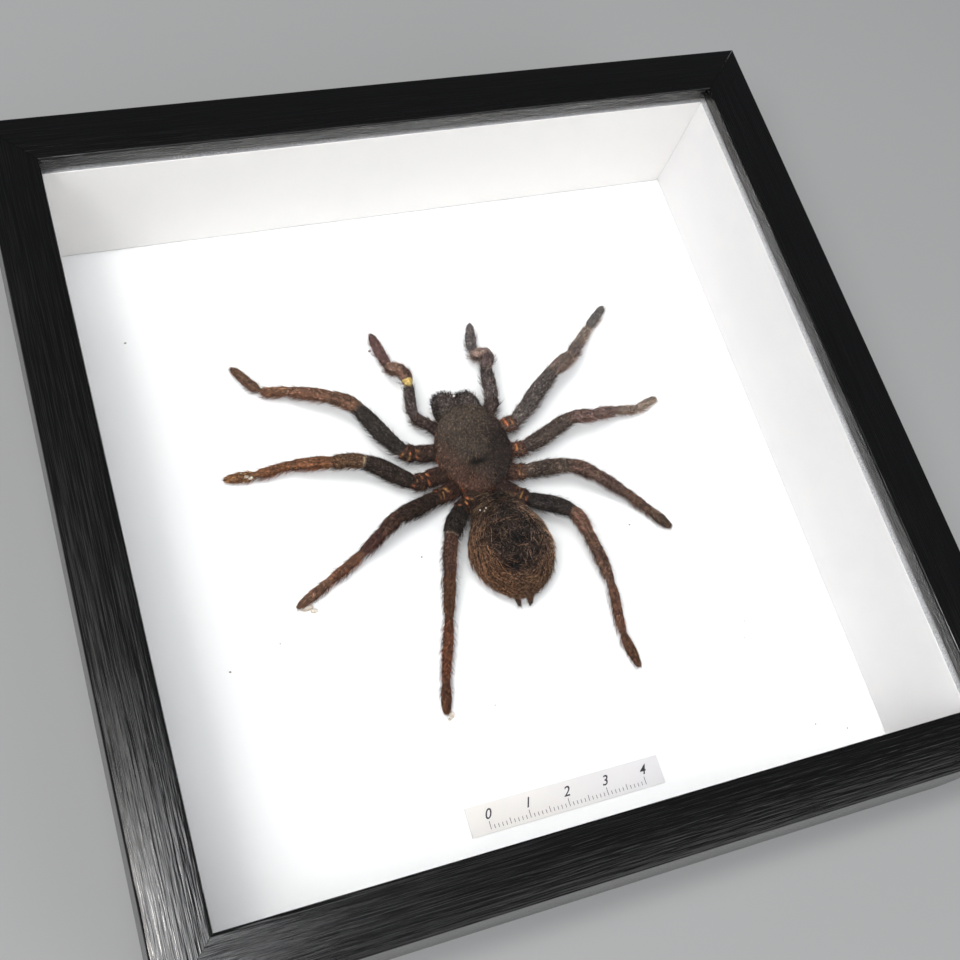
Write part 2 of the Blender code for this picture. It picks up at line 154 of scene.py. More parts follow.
select_only()
bpy.ops.object.camera_add()
camera = bpy.context.object
right = Vector(CAMERA_RIGHT).normalized()
up = Vector(CAMERA_UP).normalized()
camera_turn = Matrix((right, up, right.cross(up))).transposed()
camera.matrix_world = Matrix.Translation(CAMERA_PLACE) @ camera_turn.to_4x4()
camera.data.lens = CAMERA_LENS
camera.data.clip_start = 0.01
bpy.context.scene.camera = camera

for name, (place, width, power, colour, outline) in LAMPS.items():
    bpy.ops.object.light_add(type="AREA", location=place)
    lamp = bpy.context.object
    lamp.name = name
    lamp.rotation_euler = (-Vector(place)).to_track_quat("-Z", "Y").to_euler()
    lamp.data.shape = outline
    lamp.data.size = width
    lamp.data.energy = power
    lamp.data.color = colour
room = bpy.data.worlds.new("room")
room.use_nodes = True
air = room.node_tree.nodes["Background"].inputs
air["Color"].default_value = (*ROOM_COLOUR, 1.0)
air["Strength"].default_value = ROOM_STRENGTH
bpy.context.scene.world = room
bpy.context.scene.view_settings.view_transform = "Standard"

bpy.ops.mesh.primitive_circle_add(vertices=96, radius=FLOOR_RADIUS, fill_type="NGON")
floor = bpy.context.object
floor.name = "floor"
floor.data.materials.append(
    mottled_material("floor_paint", 0.85, (0.6, 0.6, 0.59), (0.65, 0.65, 0.64), (3.0, 2.0))[0])

# ---- The frame bars ---------------------------------------------------------------------------
# Four bars of moulded fibreboard, wrapped in black foil with a fine wood grain that runs along
# each bar. They are mitred and glued. The foil stops at the back, where the board shows.
MM = 0.001
SIDES = ("right", "top", "left", "bottom")
FRAME_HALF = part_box("rail_right")[1].x
BAR_FACE = FRAME_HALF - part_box("rail_right")[0].x
BAR_WALL = 7.8 * MM
LIP_DEPTH = 3.9 * MM
ARRIS = 0.55 * MM
MITRE_GAP = 0.05 * MM


def shade(red, green, blue):
    """A colour given as a screen shows it, from 0 to 255, as the linear light that shaders take."""
    shares = (red / 255, green / 255, blue / 255)
    return tuple(((c + 0.055) / 1.055) ** 2.4 if c > 0.0405 else c / 12.92 for c in shares)


def start_edit(piece):
    """Opens the piece for editing, with nothing in it selected."""
    select_only(piece)
    bpy.ops.object.mode_set(mode="EDIT")
    bpy.ops.mesh.select_mode(type="FACE")
    bpy.ops.mesh.select_all(action="DESELECT")


def end_edit():
    bpy.ops.object.mode_set(mode="OBJECT")


def pick(piece, kind, test):
    """Selects the faces or edges of the edited piece that pass the test, and nothing else."""
    bpy.ops.mesh.select_mode(type="FACE" if kind == "faces" else "EDGE")
    bpy.ops.mesh.select_all(action="DESELECT")
    form = bmesh.from_edit_mesh(piece.data)
    for element in getattr(form, kind):
        if test(element):
            element.select_set(True)
    form.select_flush(True)
    bmesh.update_edit_mesh(piece.data)


def place_in_mesh(piece):
    """Moves the object's place, turn and scale into its mesh, so that the object sits at the origin."""
    select_only(piece)
    bpy.ops.object.transform_apply(location=True, rotation=True, scale=True)


def finish_piece(piece, slot, *nodes):
    """The piece rides on the part's one body and stands for its solids. The slot is not used."""
    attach(piece, "root")
    if nodes:
        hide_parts(*nodes)


foil_black = shade(4, 4, 4)


def foil_material(name, level):
    """Black foil: fine pores and ridges along the bar, which catch the light in long streaks."""
    made, shader = new_material(name, foil_black, 0.27)
    shader.inputs["Specular IOR Level"].default_value = 0.8
    shader.inputs["Specular Tint"].default_value = (1.0, 0.985, 0.965, 1.0)

    def grain(across, along, detail, roughness):
        stretch = (along, across, across) if level else (across, along, across)
        return add_noise(made, stretch, detail, roughness)

    streaks = grain(5200.0, 70.0, 3.0, 0.6)
    bands = grain(1300.0, 22.0, 2.0, 0.5)
    ribs = grain(1500.0, 75.0, 2.0, 0.55)
    pores = grain(9000.0, 420.0, 2.0, 0.5)
    dark = blend_colours(made, spread(made, bands, 0.35, 0.7), foil_black, shade(8, 8, 9))
    tone = blend_colours(made, spread(made, pores, 0.62, 0.8), dark, shade(3, 3, 3))
    link(made, tone, shader.inputs["Base Color"])
    gloss = spread(made, streaks, 0.3, 0.7, 0.14, 0.34)
    link(made, gloss, shader.inputs["Roughness"])
    wide = add_bump(made, shader, bands, 0.03 * MM, 0.4)
    ribbed = add_bump(made, shader, ribs, 0.13 * MM, 1.0, wide)
    add_bump(made, shader, streaks, 0.02 * MM, 0.5, ribbed)
    return made


raw_board, _ = mottled_material(
    "raw_fibreboard", 0.85, shade(120, 92, 62), shade(176, 142, 104), (1500.0, 4.0, 0.7),
    bump=(0.08 * MM, 0.6))
foils = [foil_material("foil_upright", False), foil_material("foil_level", True)]


def start_bar(name, inner, outer, low, high):
    """A straight bar on the right side, longer than the side, between these places along X and Z."""
    bpy.ops.mesh.primitive_cube_add(size=1.0, location=((inner + outer) / 2, 0.0, (low + high) / 2))
    bar = bpy.context.object
    bar.name = name
    bar.scale = (outer - inner, 2.2 * outer, high - low)
    place_in_mesh(bar)
    start_edit(bar)
    return bar


def cut_mitres(across, along):
    """Cuts both ends of the edited bar at 45 degrees, through this corner and its mirror image."""
    for end in (-1, 1):
        bpy.ops.mesh.select_all(action="SELECT")
        corner, away = (across, end * along, 0.0), (-1.0, end, 0.0)
        bpy.ops.mesh.bisect(plane_co=corner, plane_no=away, use_fill=True, clear_outer=True)


def end_bar(bar, quarter_turns, *materials):
    """Closes the edited bar, turns it to its own side and gives it its materials."""
    bpy.ops.mesh.select_all(action="SELECT")
    bpy.ops.mesh.normals_make_consistent(inside=False)
    end_edit()
    bar.data.transform(Matrix.Rotation(quarter_turns * math.pi / 2, 4, "Z"))
    for material in materials:
        bar.data.materials.append(material)


def is_at(edge, top, *places):
    """True for an edge at this height that runs along the bar at one of these places across it."""
    return all(abs(v.co.z - top) < MM / 100 for v in edge.verts) and any(
        all(abs(v.co.x - place) < MM / 100 for v in edge.verts) for place in places)


def frame_bar(side, quarter_turns):
    """One bar, modelled on the right side of the frame and turned to its own."""
    wall = FRAME_HALF - BAR_WALL
    bar = start_bar(f"bar_{side}", wall, FRAME_HALF, 0.0, FRONT)
    lip_under = FRONT - LIP_DEPTH
    bpy.ops.mesh.select_all(action="SELECT")
    bpy.ops.mesh.bisect(plane_co=(0.0, 0.0, lip_under), plane_no=(0.0, 0.0, 1.0))
    pick(bar, "faces", lambda f: f.normal.x < -0.5 and f.calc_center_median().z > lip_under)
    bpy.ops.mesh.extrude_region_move(TRANSFORM_OT_translate={"value": (BAR_WALL - BAR_FACE, 0.0, 0.0)})
    pick(bar, "edges", lambda e: is_at(e, FRONT, FRAME_HALF, FRAME_HALF - BAR_FACE))
    bpy.ops.mesh.bevel(offset=ARRIS, segments=5, profile=0.5)
    cut_mitres(MITRE_GAP, 0.0)
    end_bar(bar, quarter_turns, foils[quarter_turns % 2], raw_board)
    for face in bar.data.polygons:
        reach = max(abs(face.center.x), abs(face.center.y))
        rebate = abs(reach - wall) < 0.5 * MM and abs(face.normal.z) < 0.5 and face.center.z < lip_under
        face.material_index = 1 if rebate or face.normal.z < -0.5 else 0
    bpy.ops.object.shade_smooth_by_angle(angle=math.radians(35))
    finish_piece(bar, "frame_foil", f"rail_{side}")


for turns, side_name in enumerate(SIDES):
    frame_bar(side_name, turns)

# ---- The glass ---------------------------------------------------------------------------------
# A plain clear pane, 2 mm thick, behind the lip. Lamps shine through it, so it casts no shadow.
glass, glass_shader = new_material("picture_glass", (0.985, 0.995, 0.99), 0.0)
glass_shader.inputs["Transmission Weight"].default_value = 1.0
glass_shader.inputs["IOR"].default_value = 1.46
glass_out = glass.node_tree.nodes["Material Output"]
see_through = add_node(glass, "BsdfTransparent")
ray = add_node(glass, "LightPath")
lamp_mix = add_node(glass, "MixShader", _0=ray.outputs["Is Shadow Ray"])
link(glass, glass_shader.outputs[0], lamp_mix.inputs[1])
link(glass, see_through.outputs[0], lamp_mix.inputs[2])
link(glass, lamp_mix.outputs[0], glass_out.inputs["Surface"])


def dress(node_name, material):
    """Gives a piece that keeps its solid's own shape its finish."""
    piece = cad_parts[node_name]
    piece.data.materials.clear()
    piece.data.materials.append(material)


dress("glass_pane", glass)

# ---- The liner boards --------------------------------------------------------------------------
# White boards on edge between the glass and the card, mitred in the corners. Their faces are
# smooth paper. The sawn top edge shows the grey, speckled pulp of the board.
LINER_EDGE = 0.16 * MM
LINER_GAP = 0.03 * MM


def add_flecks(made, shader, grain, ends, colour):
    """Flecks of another colour over a mottled finish."""
    under = shader.inputs["Base Color"].links[0].from_socket
    share = spread(made, add_noise(made, *grain), *ends)
    link(made, blend_colours(made, share, under, colour), shader.inputs["Base Color"])


def paper_material(name, dull, bright):
    """Smooth white paper, faintly cloudy and fibrous."""
    fibre = dict(bump=(0.02 * MM, 0.4), bump_grain=(2600.0, 3.0, 0.6))
    return mottled_material(name, 0.75, dull, bright, (160.0, 3.0), **fibre)[0]


liner_paper = paper_material("liner_paper", shade(210, 208, 210), shade(218, 216, 214))
# The top board is given lighter paper than the other boards: painted light on its face.
top_paper_painted_light = paper_material("liner_paper_top_painted_light", shade(230, 228, 226), shade(238, 235, 232))
pulp, pulp_shader = mottled_material(
    "board_pulp", 0.9, shade(118, 118, 122), shade(205, 205, 206), (5200.0, 2.0, 0.8), (0.38, 0.62),
    (0.05 * MM, 0.5))
add_flecks(pulp, pulp_shader, (2100.0, 2.0, 0.7), (0.5, 0.75, 0.0, 0.6), shade(222, 222, 222))


def liner_board(side, quarter_turns):
    """One board, modelled on the right side and turned to its own, its mitres meeting its neighbours'."""
    low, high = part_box(f"liner_{side}")
    across, neighbour, along = (0, "liner_top", 1) if side in ("left", "right") else (1, "liner_right", 0)
    reach = max(abs(low[across]), abs(high[across]))
    inner = reach - (high[across] - low[across])
    board = start_bar(f"liner_board_{side}", inner, reach, low.z, high.z)
    cut_mitres(reach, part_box(neighbour)[1][along] - LINER_GAP)
    pick(board, "edges", lambda e: is_at(e, high.z, inner))
    bpy.ops.mesh.bevel(offset=LINER_EDGE, segments=2, profile=0.5)
    end_bar(board, quarter_turns, top_paper_painted_light if side == "top" else liner_paper, pulp)
    for face in board.data.polygons:
        face.material_index = 1 if face.normal.z > 0.95 else 0
    finish_piece(board, "liner_board", f"liner_{side}")


for turns, side_name in enumerate(SIDES):
    liner_board(side_name, turns)

# ---- The card ------------------------------------------------------------------------------------
# One sheet of matt white card behind the liner boards, faintly cloudy and fibrous. The label and
# the spider are glued to it.
card_paper, _ = mottled_material(
    "card_paper", 0.85, shade(242, 242, 243), shade(247, 246, 245), (45.0, 3.0), bump=(0.02 * MM, 0.35),
    bump_grain=(1800.0, 4.0, 0.6))
dress("mount_card", card_paper)

# ---- The back ------------------------------------------------------------------------------------
# A sheet of brown hardboard closes the back, held by bent steel tabs. A thin steel plate with a
# wire ring, riveted near its top, hangs the frame.
board_brown, board_shader = mottled_material(
    "back_hardboard", 0.7, shade(92, 64, 42), shade(138, 102, 70), (420.0, 6.0, 0.7), (0.3, 0.7),
    (0.1 * MM, 0.5))
add_flecks(board_brown, board_shader, (1500.0, 3.0, 0.7), (0.6, 0.75, 0.0, 0.7), shade(66, 45, 30))
dress("back_board", board_brown)
steel, steel_shader = mottled_material(
    "thin_steel", 0.34, shade(132, 133, 136), shade(172, 172, 174), (700.0, 3.0), bump=(0.01 * MM, 0.3),
    bump_grain=((300.0, 6000.0, 300.0), 2.0))
steel_shader.inputs["Metallic"].default_value = 1.0
steel_dull = spread(steel, add_noise(steel, 700.0, 3.0), 0.3, 0.7, 0.25, 0.48)
link(steel, steel_dull, steel_shader.inputs["Roughness"])
for node_name in [f"retaining_tab_{n}" for n in range(1, 9)] + ["hanger_plate", "hanger_ring"]:
    dress(node_name, steel)

# ---- The label ------------------------------------------------------------------------------------
# A slip of smooth paper, stuck to the card and greyer towards its right end. It bears a printed
# centimetre scale in dark ink, its numerals sloping.
SCALE_LENGTH = 40
SCALE_FOOT = -79.75 * MM
NUMERAL_FOOT = -77.3 * MM
NUMERAL_SIZE = 3.3 * MM
TICK_HALF_WIDTH = 0.075 * MM
INK_RISE = 0.02 * MM
TICK_LENGTHS = {10: 1.9 * MM, 5: 1.4 * MM, 1: 0.9 * MM}
label_low, label_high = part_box("name_label")
label_paper, label_shader = new_material("label_paper", shade(236, 232, 234), 0.8)
label_place = add_node(label_paper, "TexCoord").outputs["Object"]
label_along = add_node(label_paper, "SeparateXYZ", Vector=label_place).outputs[0]
label_grey = spread(label_paper, label_along, label_low.x, label_high.x)
label_tone = blend_colours(label_paper, label_grey, shade(226, 221, 216), shade(216, 213, 215))
link(label_paper, label_tone, label_shader.inputs["Base Color"])
add_flecks(label_paper, label_shader, (220.0, 3.0), (0.4, 0.7, 0.0, 0.5), shade(222, 219, 218))
add_bump(label_paper, label_shader, add_noise(label_paper, 2600.0, 3.0, 0.6), 0.02 * MM, 0.3)
dress("name_label", label_paper)

ink, _ = mottled_material("label_ink", 0.6, shade(20, 20, 30), shade(52, 50, 60), (4200.0, 2.0), (0.45, 0.75))
scale_middle = (label_low.x + label_high.x) / 2
printed = []
for millimetre in range(SCALE_LENGTH + 1):
    step = max(size for size in TICK_LENGTHS if millimetre % size == 0)
    place = scale_middle + (millimetre - SCALE_LENGTH / 2) * MM
    tall = TICK_LENGTHS[step]
    select_only()
    middle = (place, SCALE_FOOT + tall / 2, label_high.z + INK_RISE)
    bpy.ops.mesh.primitive_plane_add(size=1.0, location=middle)
    tick = bpy.context.object
    tick.scale = (2 * TICK_HALF_WIDTH, tall, 1.0)
    printed.append(tick)
    if step == 10:
        select_only()
        bpy.ops.object.text_add(location=(place, NUMERAL_FOOT, label_high.z + INK_RISE))
        numeral = bpy.context.object
        numeral.data.body = str(millimetre // 10)
        numeral.data.size = NUMERAL_SIZE
        numeral.data.shear = 0.35
        numeral.data.offset = 0.03 * MM
        numeral.data.align_x = "CENTER"
        bpy.ops.object.convert(target="MESH")
        printed.append(bpy.context.object)
for piece in printed:
    place_in_mesh(piece)


def join_pieces(name, pieces, material, slot):
    """Joins small pieces of one kind in one, and gives it their finish."""
    select_only(*pieces)
    bpy.ops.object.join()
    joined = bpy.context.object
    joined.name = name
    joined.data.materials.append(material)
    finish_piece(joined, slot)
    return joined


join_pieces("label_print", printed, ink, "label_paper")

# ---- The spider's shield -------------------------------------------------------------------------
# The front half of the body is one hard shield over the leg bases, dried to a dull dark brown. It
# is covered in short velvet that lies backwards. In its middle is a slanting pit, in front an eye knob.
SHIELD_MIDDLE = (3.05, 11.0)
SHIELD_HALF_WIDTH = 9.8
SHIELD_HALF_LENGTH = 11.75
SHIELD_TURN = math.radians(4)
SHIELD_MARGIN = 5.4
HEAD_REACH = 1.7
SHIELD_TOP = 8.85
BODY_BASE = 0.45
PIT_PLACE = (-0.1, -3.8)
PIT_SLANT = math.radians(10)
EYES_PLACE = (0.0, 9.6)
CARD_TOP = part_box("mount_card")[1].z
CARD_MM = CARD_TOP / MM
HAIR_LOWEST = CARD_TOP + 0.05 * MM
HAIR_ROOT = 0.04 * MM
HAIR_STRAY = 0.28


def hump(x, y, middle, spread_x, spread_y):
    """A smooth bump of height 1 at the middle."""
    return np.exp(-(((x - middle[0]) / spread_x) ** 2) - ((y - middle[1]) / spread_y) ** 2)


def turned(x, y, angle):
    """Places turned clockwise by an angle."""
    return x * math.cos(angle) + y * math.sin(angle), y * math.cos(angle) - x * math.sin(angle)


def dome(z, margin, top, steepness):
    """Heights of a body part from its ball's: its margin to its top above, and to its base below."""
    rise = (top - margin) * np.maximum(z, 0) ** steepness
    return np.where(z > 0, margin + rise, margin + (margin - BODY_BASE) * z)


def unit(vectors):
    return vectors / np.maximum(np.linalg.norm(vectors, axis=-1, keepdims=True), 1e-9)


def waves(points, size, seed):
    """Smooth noise of about -1 to 1 at each point, in lumps of about this size."""
    chance = np.random.default_rng(seed)
    total = np.zeros(len(points))
    for _ in range(9):
        way = chance.normal(size=points.shape[1])
        way *= chance.uniform(0.6, 1.5) * math.pi / size / np.linalg.norm(way)
        total += np.sin(points @ way + chance.uniform(0, 2 * math.pi))
    return total / 3.0


def ramp(values, low, high):
    """0 below the low value, 1 above the high one, and smooth in between."""
    share = np.clip((values - low) / (high - low), 0.0, 1.0)
    return share * share * (3 - 2 * share)


def blend(first, second, share):
    """Mixes rows of colours or vectors by a share for each row."""
    share = np.asarray(share)[:, None]
    return np.asarray(first) * (1 - share) + np.asarray(second) * share


def get_places(mesh):
    places = np.empty(3 * len(mesh.vertices))
    mesh.vertices.foreach_get("co", places)
    return places.reshape(-1, 3)


def set_places(piece, places):
    """Gives the piece's mesh its points, in millimetres from the middle of the card's face."""
    places = (places + np.array((0.0, 0.0, CARD_MM))) * MM
    piece.data.vertices.foreach_set("co", np.ascontiguousarray(places, dtype=np.float32).ravel())
    piece.data.update()


# The fields that a skin keeps at each of its points; the others are single numbers.
FIELD_KINDS = {"tone": "FLOAT_COLOR", "coat": "FLOAT_COLOR", "flow": "FLOAT_VECTOR"}
FIELD_WIDTHS = {"value": 1, "vector": 3, "color": 4}
FIELD_WORDS = {"FLOAT": "value", "FLOAT_VECTOR": "vector", "FLOAT_COLOR": "color"}


def keep(piece, **fields):
    """Keeps values at each point of the piece: its own tone, its coat's tone, the way that its hair
    lies, and how thickly each sort of hair grows."""
    for name, values in fields.items():
        kind = FIELD_KINDS.get(name, "FLOAT")
        field = piece.data.attributes.new(name, kind, "POINT")
        if kind == "FLOAT_COLOR":
            values = np.concatenate([values, np.ones((len(values), 1))], axis=1)
        field.data.foreach_set(FIELD_WORDS[kind], np.ascontiguousarray(values, dtype=np.float32).ravel())


def recall(mesh, name):
    field = mesh.attributes[name]
    word = FIELD_WORDS[field.data_type]
    width = FIELD_WIDTHS[word]
    values = np.empty(width * len(mesh.vertices))
    field.data.foreach_get(word, values)
    return values.reshape(-1, width)[:, :3]


def vary(made, tone, grain, ends, dark, light):
    """Makes a tone darker and lighter from place to place, by noise."""
    share = spread(made, grain, *ends)
    return blend_colours(made, 1.0, tone, blend_colours(made, share, dark, light), "MULTIPLY")


def skin_material(name, roughness, crease):
    """Dried skin: its own tone from place to place, finely mottled and creased."""
    made, shader = new_material(name, (0.05, 0.04, 0.03), roughness)
    shader.inputs["Specular IOR Level"].default_value = 0.05
    tone = add_node(made, "Attribute", {"attribute_name": "tone"}).outputs["Color"]
    mottle = add_noise(made, 1900.0, 4.0, 0.65)
    patch = add_noise(made, 420.0, 3.0)
    tone = vary(made, tone, mottle, (0.35, 0.68), (0.62, 0.6, 0.58), (1.45, 1.4, 1.35))
    tone = vary(made, tone, patch, (0.35, 0.65), (0.78, 0.78, 0.78), (1.2, 1.18, 1.15))
    link(made, tone, shader.inputs["Base Color"])
    gloss = spread(made, mottle, 0.3, 0.7, roughness - 0.1, roughness + 0.12)
    link(made, gloss, shader.inputs["Roughness"])
    wide = add_bump(made, shader, patch, crease * 2, 0.6)
    add_bump(made, shader, mottle, crease, 0.8, wide)
    return made


def hair_material(name, roughness):
    """Hair in its own tone, a little darker and lighter from place to place."""
    made, shader = new_material(name, (0.1, 0.07, 0.05), roughness)
    shader.inputs["Specular IOR Level"].default_value = 0.0
    tone = add_node(made, "Attribute", {"attribute_name": "tone"}).outputs["Color"]
    drift = add_noise(made, 700.0, 2.0)
    flecks = add_noise(made, 1600.0, 2.0, 0.75)
    tone = vary(made, tone, drift, (0.35, 0.65), (0.85, 0.85, 0.85), (1.15, 1.14, 1.12))
    tone = vary(made, tone, flecks, (0.38, 0.66), (0.4, 0.4, 0.41), (2.0, 1.94, 1.86))
    link(made, tone, shader.inputs["Base Color"])
    return made


hard_skin = skin_material("dried_shield", 0.6, 0.05 * MM)
limb_skin = skin_material("dried_limb_skin", 0.62, 0.06 * MM)
hair_finish = hair_material("spider_hair", 0.5)


def hair_layer(skin, chance, count, length, width, lift, droop=0.4, curl=0.0, wave=0.0, steps=1,
               where="thick", shades=(0.6, 1.5), tint=(1.0, 1.0, 1.0)):
    """Points, faces and tones of one layer of tapering hairs, rooted in the skin's faces.

    Length and lift are ranges, in millimetres and degrees, and width is half a hair's thickness in
    millimetres. Droop bends a hair back to the skin, curl turns it sideways and wave makes it wavy,
    all as shares of its length. Shades are the darkest and brightest share of the coat's tone.
    """
    mesh = skin.data
    mesh.calc_loop_triangles()
    corners = np.empty(3 * len(mesh.loop_triangles), dtype=np.int32)
    mesh.loop_triangles.foreach_get("vertices", corners)
    corners = corners.reshape(-1, 3)
    places = get_places(mesh)
    normals = np.empty(3 * len(mesh.vertices))
    mesh.vertices.foreach_get("normal", normals)
    normals = normals.reshape(-1, 3)
    spots = places[corners]
    area = np.linalg.norm(np.cross(spots[:, 1] - spots[:, 0], spots[:, 2] - spots[:, 0]), axis=1)
    weight = area * recall(mesh, where)[corners].mean(axis=(1, 2))
    chosen = corners[chance.choice(len(corners), size=count, p=weight / weight.sum())]
    shares = chance.dirichlet((1.0, 1.0, 1.0), size=count)[:, :, None]
    root = (places[chosen] * shares).sum(axis=1)
    out = unit((normals[chosen] * shares).sum(axis=1))
    tone = (recall(mesh, "coat")[chosen] * shares).sum(axis=1)
    flow = (recall(mesh, "flow")[chosen] * shares).sum(axis=1) + HAIR_STRAY * chance.normal(size=(count, 3))
    flow = unit(flow - out * (flow * out).sum(axis=1, keepdims=True))
    side = np.cross(out, flow)
    angle = np.radians(chance.uniform(*lift, size=(count, 1)))
    reach = chance.uniform(length[0] * MM, length[1] * MM, size=(count, 1))
    aim = flow * np.cos(angle) + out * np.sin(angle)
    across = np.cross(aim, side)
    sideways = side * chance.normal(size=(count, 1)) * curl
    phase = chance.uniform(0, 2 * math.pi, size=(count, 1))
    turns = chance.uniform(0.7, 1.4, size=(count, 1)) * 2 * math.pi
    bright = chance.uniform(size=(count, 1)) ** 2.2
    tone = tone * (shades[0] + (shades[1] - shades[0]) * bright) * np.array(tint)
    rings = []
    tones = []
    for step in range(steps + 1):
        t = step / steps
        bend = sideways * t**2 - out * np.sin(angle) * droop * t**2 + flow * 0.3 * droop * t**2
        ripple = side * (np.sin(turns * t + phase) - np.sin(phase)) * wave * t
        middle = root + reach * (aim * t + bend + ripple) - out * HAIR_ROOT
        if step == steps:
            rings.append(middle[:, None, :])
            tones.append(tone[:, None, :] * 1.3)
            break
        thick = width * MM * (1 - t) ** 0.5
        for corner in range(3):
            turn = corner * 2 * math.pi / 3
            rings.append((middle + thick * (side * math.cos(turn) + across * math.sin(turn)))[:, None, :])
            tones.append((tone * (0.75 + 0.45 * t))[:, None, :])
    points = np.concatenate(rings, axis=1)
    points[:, :, 2] = np.maximum(points[:, :, 2], HAIR_LOWEST)
    size = points.shape[1]
    faces = [(2, 1, 0)]
    for step in range(steps):
        low = 3 * step
        for corner in range(3):
            after = (corner + 1) % 3
            if step == steps - 1:
                faces.append((low + corner, low + after, low + 3))
            else:
                faces.append((low + corner, low + after, low + 3 + after))
                faces.append((low + corner, low + 3 + after, low + 3 + corner))
    firsts = np.arange(count)[:, None, None] * size
    faces = (np.array(faces)[None] + firsts).reshape(-1, 3)
    return points.reshape(-1, 3), faces, np.concatenate(tones, axis=1).reshape(-1, 3)


def grow_hair(name, skin, seed, slot, layers):
    """All the layers of hair on one piece, as one mesh."""
    chance = np.random.default_rng(seed)
    grown = [hair_layer(skin, chance, **layer) for layer in layers]
    first = 0
    faces = []
    for points, triangles, _ in grown:
        faces.append(triangles + first)
        first += len(points)
    mesh = bpy.data.meshes.new(name)
    mesh.from_pydata(np.concatenate([g[0] for g in grown]).tolist(), [], np.concatenate(faces).tolist())
    hair = bpy.data.objects.new(name, mesh)
    bpy.context.scene.collection.objects.link(hair)
    keep(hair, tone=np.concatenate([g[2] for g in grown]))
    finish_skin(hair, hair_finish, slot)


def finish_skin(piece, material, slot, *nodes):
    piece.data.materials.append(material)
    piece.data.shade_smooth()
    finish_piece(piece, slot, *nodes)


def add_ball(name, segments, rings):
    """A ball of radius 1, to be shaped, and its points. Blender lists its faces in another order each
    time, so they are put in the order of their points, and the hair roots in the same places."""
    select_only()
    bpy.ops.mesh.primitive_uv_sphere_add(segments=segments, ring_count=rings, radius=1.0)
    ball = bpy.context.object
    ball.name = name
    form = bmesh.new()
    form.from_mesh(ball.data)
    in_order = sorted(form.faces, key=lambda face: sorted(point.index for point in face.verts))
    for index, face in enumerate(in_order):
        face.index = index
    form.faces.sort()
    form.to_mesh(ball.data)
    form.free()
    return ball, get_places(ball.data)


coal = np.array(shade(39, 33, 29))
soot = np.array(shade(53, 45, 41))
olive = np.array(shade(78, 69, 58))
chestnut = np.array(shade(98, 68, 53))
golden = np.array(shade(150, 112, 66))
rust = np.array(shade(158, 92, 56))

shield, ball = add_ball("skin_shield", 144, 80)
x, y, z = ball.T
above = z > 0
blunt = 1 + 0.14 * np.maximum(y, 0) ** 3
pointed = 1 - np.where(x > 0, 0.08, 0.3) * np.maximum(-y, 0) ** 2.2
px = x * (SHIELD_HALF_WIDTH + 0.5 * (x > 0)) * blunt * pointed - 1.3 * ramp(-y, 0.6, 1.0)
py = y * SHIELD_HALF_LENGTH + HEAD_REACH * ramp(y, 0.3, 1.0) * hump(x, y, (0.12, 1.0), 0.6, 1.5)
steep = 0.8 - 0.42 * ramp(y, 0.2, 0.8)
pz = dome(z, SHIELD_MARGIN, SHIELD_TOP, steep)
from_pit_x, from_pit_y = px - PIT_PLACE[0], py - PIT_PLACE[1]
spoke = np.arctan2(from_pit_x, from_pit_y)
radius = np.hypot(from_pit_x, from_pit_y)
furrows = np.cos(spoke * 8) ** 8 * ramp(radius, 1.6, 3.5) * (1 - ramp(radius, 6.0, 9.5))
pit = hump(*turned(from_pit_x, from_pit_y, PIT_SLANT), (0.0, 0.0), 2.5, 0.9)
knob = hump(px, py, EYES_PLACE, 1.5, 1.0)
flat = np.stack([px, py], axis=1)
relief = 0.9 * hump(px, py, (0.0, 6.4), 4.0, 4.6) - 0.7 * pit - 0.05 * furrows + 0.45 * knob
relief += 0.10 * waves(flat, 1.6, 11) + 0.05 * waves(flat, 0.7, 12)
pz = pz + np.where(above, relief * ramp(z, 0.0, 0.3), 0.0)
tuck = np.where(above, 1.0, 1 + 0.18 * z)
wx, wy = turned(px * tuck, py * tuck, SHIELD_TURN)
set_places(shield, np.stack([wx + SHIELD_MIDDLE[0], wy + SHIELD_MIDDLE[1], pz], axis=1))
rim = 1 - ramp(np.abs(z), 0.05, 0.2)
rear_left = ramp(-px - 0.7 * py, 3.0, 9.0)
rear = ramp(-py, 2.0, 9.0)
tone = blend(olive, soot * 0.8, 0.85 * ramp(px - 0.2 * py, 0.5, 6.0))
tone = blend(tone, chestnut * 0.85, 0.3 * rear * (1 - ramp(px, 0.0, 5.0)) + 0.5 * rear_left)
bright = 0.88 + 0.3 * ramp(py, 3.0, 9.0) + 0.16 * rear * ramp(px, -3.0, 3.0)
tone = tone * np.array((1.04, 1.03, 1.18)) * bright[:, None]
# The pit is painted dark, as painted shade in its hollow, and the shield is darker in a wider patch around
# it.
around_pit = hump(px, py, PIT_PLACE, 4.0, 2.4)
tone = blend(tone, coal * 0.5, np.clip(0.95 * pit + 0.35 * around_pit, 0, 1))
broken = ramp(waves(flat, 1.3, 21), -0.3, 0.5)
tone = blend(tone, rust * 0.9, rim * broken * (0.3 + 0.6 * ramp(-py, -3.0, 5.0)))
gilt = (0.1 + 0.6 * rim) * ramp(waves(flat, 0.9, 22), 0.2, 0.9)
back_flow = np.stack([0.25 * px / 10, -np.ones(len(px)), -0.05 * np.ones(len(px))], axis=1)
radial = np.stack([px, py, np.zeros(len(px))], axis=1) / 10
keep(shield, tone=tone * 0.75, coat=blend(tone * 0.85, golden, gilt), flow=unit(back_flow + 0.5 * radial),
     thick=np.where(z > -0.35, 1.0 - 0.5 * pit - 0.85 * rim, 0.02),
     edge=(1 - ramp(np.abs(z - 0.05), 0.1, 0.4)) * (0.3 + ramp(-py, -6.0, 4.0)))
finish_skin(shield, hard_skin, "spider_dark", "cephalothorax")
